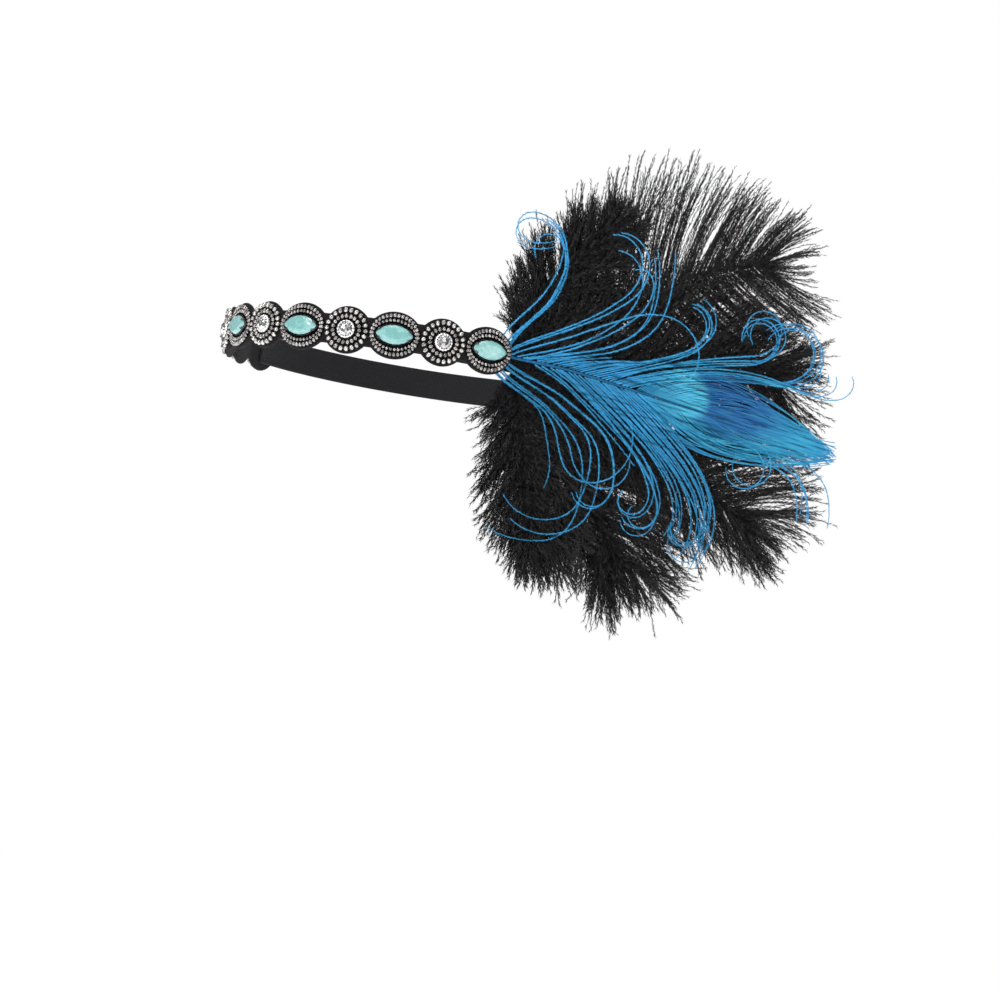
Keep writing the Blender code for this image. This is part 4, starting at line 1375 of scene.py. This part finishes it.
class HEADPIECE_OT_navettes(bpy.types.Operator):
    """Set the pointed stones in their claw settings."""
    bl_idname = "headpiece.navettes"
    bl_label = "Pointed Stones"

    def execute(self, context):
        jewels = context.scene.headpiece_jewels
        stone = stone_finish(tuple(jewels.stone_colour), tuple(jewels.stone_milk))
        metal = metal_finish("gunmetal", tuple(jewels.gunmetal_colour), 0.22, 0.4)
        for number, k in enumerate(range(0, MOTIFS, 2), 1):
            settled("stone_%d" % number, navette_stone_mesh(k, stone),
                    ["navette_stone_%d" % number])
            settled("claw_setting_%d" % number, navette_setting_mesh(k, metal),
                    ["navette_setting_%d" % number])
        return {"FINISHED"}


class HEADPIECE_OT_crystals(bpy.types.Operator):
    """Set the round crystals in their silver cups."""
    bl_idname = "headpiece.crystals"
    bl_label = "Round Crystals"

    def execute(self, context):
        jewels = context.scene.headpiece_jewels
        crystal = crystal_finish(tuple(jewels.crystal_colour))
        silver = metal_finish("silver", tuple(jewels.silver_colour), 0.30, 0.25)
        for number, k in enumerate(range(1, MOTIFS, 2), 1):
            settled("brilliant_%d" % number, brilliant_mesh(k, crystal),
                    ["crystal_%d" % number])
            settled("silver_cup_%d" % number, crystal_cup_mesh(k, silver),
                    ["crystal_setting_%d" % number])
        return {"FINISHED"}


class HEADPIECE_OT_beads(bpy.types.Operator):
    """Thread the rows of seed beads round every motif."""
    bl_idname = "headpiece.beads"
    bl_label = "Seed Beads"

    def execute(self, context):
        band = context.scene.headpiece_band
        dark = bead_finish("dark_beads", tuple(band.dark_bead_colour), 1.0, 0.10, (1.8, 1.72, 1.68))
        bright = bead_finish("silver_beads", tuple(band.silver_bead_colour), 0.85, 0.08,
                             (1.5, 1.5, 1.5))
        tree = bead_tree()

        def row(k, half_sizes, size, seed, mat, point=0.0, pitch=BEAD_PITCH):
            line = bead_line(k, *half_sizes, size, point)
            return tree.grow("row", lines_mesh("row", [line], closed=True), Spacing=size * pitch,
                             Diameter=size, Squash=BEAD_SQUASH, Unevenness=BEAD_UNEVENNESS,
                             Seed=seed, Material=mat)

        for k in range(MOTIFS):
            pointed, (half_long, half_high) = motif_sizes(k)
            node = "bead_rows_%d" % (k + 1)
            if pointed:
                size = band.bead_size
                outer = (half_long - size / 2, half_high - size / 2)
                rows = [row(k, outer, size, 10 * k, dark),
                        row(k, NAVETTE_INNER_ROW, size * NAVETTE_INNER_BEAD, 10 * k + 5, dark,
                            NAVETTE_INNER_POINT)]
            else:
                inner = (ROSETTE_INNER_RADIUS, ROSETTE_INNER_RADIUS)
                rows = [row(k, inner, band.rosette_bead_size, 10 * k + 5, dark)]
                size = band.silver_bead_size
                radius = half_long - size / 2 + SILVER_ROW_OVER
                silver = row(k, (radius, radius), size, 10 * k, bright, pitch=SILVER_BEAD_PITCH)
                settled("silver_beads_%d" % (k + 1), silver, [node])
            settled("seed_beads_%d" % (k + 1), join_meshes("rows", rows), [node])
        return {"FINISHED"}


class HEADPIECE_OT_ostrich(bpy.types.Operator):
    """Grow the ostrich plumes from their quills."""
    bl_idname = "headpiece.ostrich"
    bl_label = "Ostrich Plumes"

    def execute(self, context):
        feathers = context.scene.headpiece_feathers
        mat = ostrich_finish(tuple(feathers.ostrich_colour), tuple(feathers.ostrich_tone_and_glint))
        quill = quill_finish("ostrich_quill", OSTRICH_QUILL_COLOUR)
        tree = barb_tree()
        for number, (plume, rule) in enumerate(zip(PLUMES, PLUME_BARBS), 1):
            rng = np.random.default_rng(700 + number)
            lines = ostrich_lines(plume, rule, feathers.fullness, rng)
            # neat plumes have shorter hairs
            hair = feathers.barbule_length * min(1.0, 0.4 + 0.15 * rule.stray)
            barbs = tree.grow("barbs", lines_mesh("barbs", lines), Hair_Length=hair,
                              Hair_Step=feathers.barbule_step, Seed=number * 20, Material=mat,
                              **OSTRICH_BARBS)
            level = plume.layer * LAYER
            stem = shaft_mesh("quill", ostrich_shaft(plume), level, OSTRICH_QUILL, quill)
            mesh = join_meshes("plume", [barbs, stem])
            flat_map(mesh)
            settled("plume_%d" % number, mesh, [plume.name])
        return {"FINISHED"}


class HEADPIECE_OT_peacock(bpy.types.Operator):
    """Grow the peacock feather: shaft, eye and curled herls."""
    bl_idname = "headpiece.peacock"
    bl_label = "Peacock Feather"

    def execute(self, context):
        feathers = context.scene.headpiece_feathers
        mat = peacock_finish(tuple(feathers.peacock_colour), tuple(feathers.peacock_light),
                             tuple(feathers.peacock_deep))
        quill = quill_finish("peacock_quill", PEACOCK_QUILL_COLOUR)
        shaft = peacock_shaft()
        level = PEACOCK_LAYER * LAYER
        tree = barb_tree()
        rng = np.random.default_rng(41)
        herls = []
        for strips, stray in ((CURLED_HERLS, 0.07), (VANE_STRIPS, 0.04), (LOOSE_HERLS, 0.03)):
            for row in strips:
                herls += herl_bundle(shaft, row, level, stray, rng)
        mesh = tree.grow("herls", lines_mesh("herls", herls), Seed=900, Material=mat,
                         **HERL_BARBS)
        flat_map(mesh)
        settled("peacock_herls", mesh, ["peacock_feather"])
        lines = eye_lines(shaft, level, feathers.eye_barbs, rng)
        eye = tree.grow("eye", lines_mesh("eye", lines), Seed=950, Material=mat, **EYE_BARBS)
        mesh = join_meshes("eye", [eye, shaft_mesh("quill", shaft, level, PEACOCK_QUILL, quill)])
        flat_map(mesh)
        settled("peacock_eye", mesh, ["peacock_feather"])
        return {"FINISHED"}


def camera_axes(view):
    """Direction from the origin to the camera, and the camera's right, top and ahead."""
    a, e, roll = view.azimuth, view.elevation, view.roll
    back = Vector((sin(a) * cos(e), -cos(a) * cos(e), sin(e)))
    side = Vector((cos(a), sin(a), 0))
    up = back.cross(side)
    right = side * cos(roll) + up * sin(roll)
    top = side * -sin(roll) + up * cos(roll)
    middle = PICTURE_WIDE / 2
    ahead = (back * -(view.distance / PIXEL) + right * (middle - ORIGIN_PIXEL[0])
             + top * (ORIGIN_PIXEL[1] - middle)).normalized()
    right = (right - ahead * right.dot(ahead)).normalized()
    return back, right, right.cross(ahead), ahead


def set_camera(scene, view):
    back, right, top, ahead = camera_axes(view)
    data = bpy.data.cameras.new("camera")
    data.sensor_width = SENSOR_WIDE
    data.lens = SENSOR_WIDE * (view.distance / PIXEL) / PICTURE_WIDE
    data.clip_start = 0.05
    camera = bpy.data.objects.new("camera", data)
    turn = Matrix((right, top, -ahead)).transposed()
    camera.matrix_world = Matrix.Translation(back * view.distance) @ turn.to_4x4()
    scene.collection.objects.link(camera)
    scene.camera = camera


def lay_floor(scene):
    """Round white floor far below, with a glow that evens out its shadows."""
    bm = bmesh.new()
    bmesh.ops.create_circle(bm, cap_ends=True, segments=96, radius=FLOOR_RADIUS)
    mesh = bpy.data.meshes.new("floor")
    bm.to_mesh(mesh)
    bm.free()
    floor = bpy.data.objects.new("floor", mesh)
    floor.location.z = FLOOR_LEVEL
    scene.collection.objects.link(floor)
    f = Finish("floor", Roughness=0.9, Specular_IOR_Level=0.1, Emission_Color=(1, 1, 1, 1),
               Emission_Strength=0.75)
    f.feed("Base Color", f.mix(f.noise(f.place(), 3, 2, 0.5), (0.90, 0.90, 0.90),
                               (0.94, 0.94, 0.94)))
    mesh.materials.append(f.material)


def light_sky(scene):
    """Grey sky that lights the pieces, while the camera sees plain white."""
    world = bpy.data.worlds.new("studio")
    world.use_nodes = True
    scene.world = world
    tree = world.node_tree
    sky = tree.nodes["Background"]
    spot = add_node(tree, "ShaderNodeTexCoord").outputs["Generated"]
    tall = Wire(tree, add_node(tree, "ShaderNodeSeparateXYZ", None, {0: spot}).outputs[2])
    ramp = add_node(tree, "ShaderNodeValToRGB", {"stops": SKY_STOPS}, {0: tall * 0.5 + 0.5})
    tree.links.new(ramp.outputs[0], sky.inputs[0])
    clear = add_node(tree, "ShaderNodeBackground", None, {0: (1, 1, 1, 1), 1: 1.0})
    seen = add_node(tree, "ShaderNodeLightPath").outputs["Is Camera Ray"]
    both = add_node(tree, "ShaderNodeMixShader", None,
                    {0: seen, 1: sky.outputs[0], 2: clear.outputs[0]})
    tree.links.new(both.outputs[0], tree.nodes["World Output"].inputs[0])


def hang_lamps(scene, view):
    """Soft square lamps round the spray."""
    back, right, top, _ = camera_axes(view)
    for name, (across, up, near), size, power in LAMPS:
        shift = right * across + top * up + back * near
        lamp = bpy.data.lights.new(name, "AREA")
        lamp.size = size
        lamp.energy = power
        light = bpy.data.objects.new(name, lamp)
        light.location = END_SPOT * LAMP_TARGET + shift
        light.rotation_euler = (-shift).to_track_quat("-Z", "Y").to_euler()
        scene.collection.objects.link(light)


class HEADPIECE_OT_stage(bpy.types.Operator):
    """Set up the camera, the floor and the soft lights."""
    bl_idname = "headpiece.stage"
    bl_label = "Stage"

    def execute(self, context):
        scene = context.scene
        view = scene.headpiece_stage
        set_camera(scene, view)
        lay_floor(scene)
        light_sky(scene)
        hang_lamps(scene, view)
        scene.view_settings.view_transform = "Standard"
        return {"FINISHED"}


PIECES = (HEADPIECE_OT_felt, HEADPIECE_OT_elastic, HEADPIECE_OT_navettes, HEADPIECE_OT_crystals,
          HEADPIECE_OT_beads, HEADPIECE_OT_ostrich, HEADPIECE_OT_peacock, HEADPIECE_OT_stage)
SETTINGS = (("headpiece_band", HEADPIECE_PG_band), ("headpiece_jewels", HEADPIECE_PG_jewels),
            ("headpiece_feathers", HEADPIECE_PG_feathers), ("headpiece_stage", HEADPIECE_PG_stage))


class HEADPIECE_PT_panel(bpy.types.Panel):
    """Sizes, colours and pieces of the headpiece."""
    bl_idname = "HEADPIECE_PT_panel"
    bl_label = "Flapper Headpiece"
    bl_space_type = "VIEW_3D"
    bl_region_type = "UI"
    bl_category = "Headpiece"

    def draw(self, context):
        for name, group in SETTINGS:
            values = getattr(context.scene, name)
            box = self.layout.box()
            box.label(text=group.__doc__)
            for label in group.__annotations__:
                box.prop(values, label)
        for piece in PIECES:
            self.layout.operator(piece.bl_idname)


def register():
    for name, group in SETTINGS:
        bpy.utils.register_class(group)
        setattr(bpy.types.Scene, name, bpy.props.PointerProperty(type=group))
    for piece in PIECES + (HEADPIECE_PT_panel,):
        bpy.utils.register_class(piece)


def unregister():
    for piece in reversed(PIECES + (HEADPIECE_PT_panel,)):
        bpy.utils.unregister_class(piece)
    for name, group in reversed(SETTINGS):
        delattr(bpy.types.Scene, name)
        bpy.utils.unregister_class(group)


def main():
    register()
    bpy.ops.headpiece.felt()
    bpy.ops.headpiece.elastic()
    bpy.ops.headpiece.navettes()
    bpy.ops.headpiece.crystals()
    bpy.ops.headpiece.beads()
    bpy.ops.headpiece.ostrich()
    bpy.ops.headpiece.peacock()
    bpy.ops.headpiece.stage()


if __name__ == "__main__":
    main()
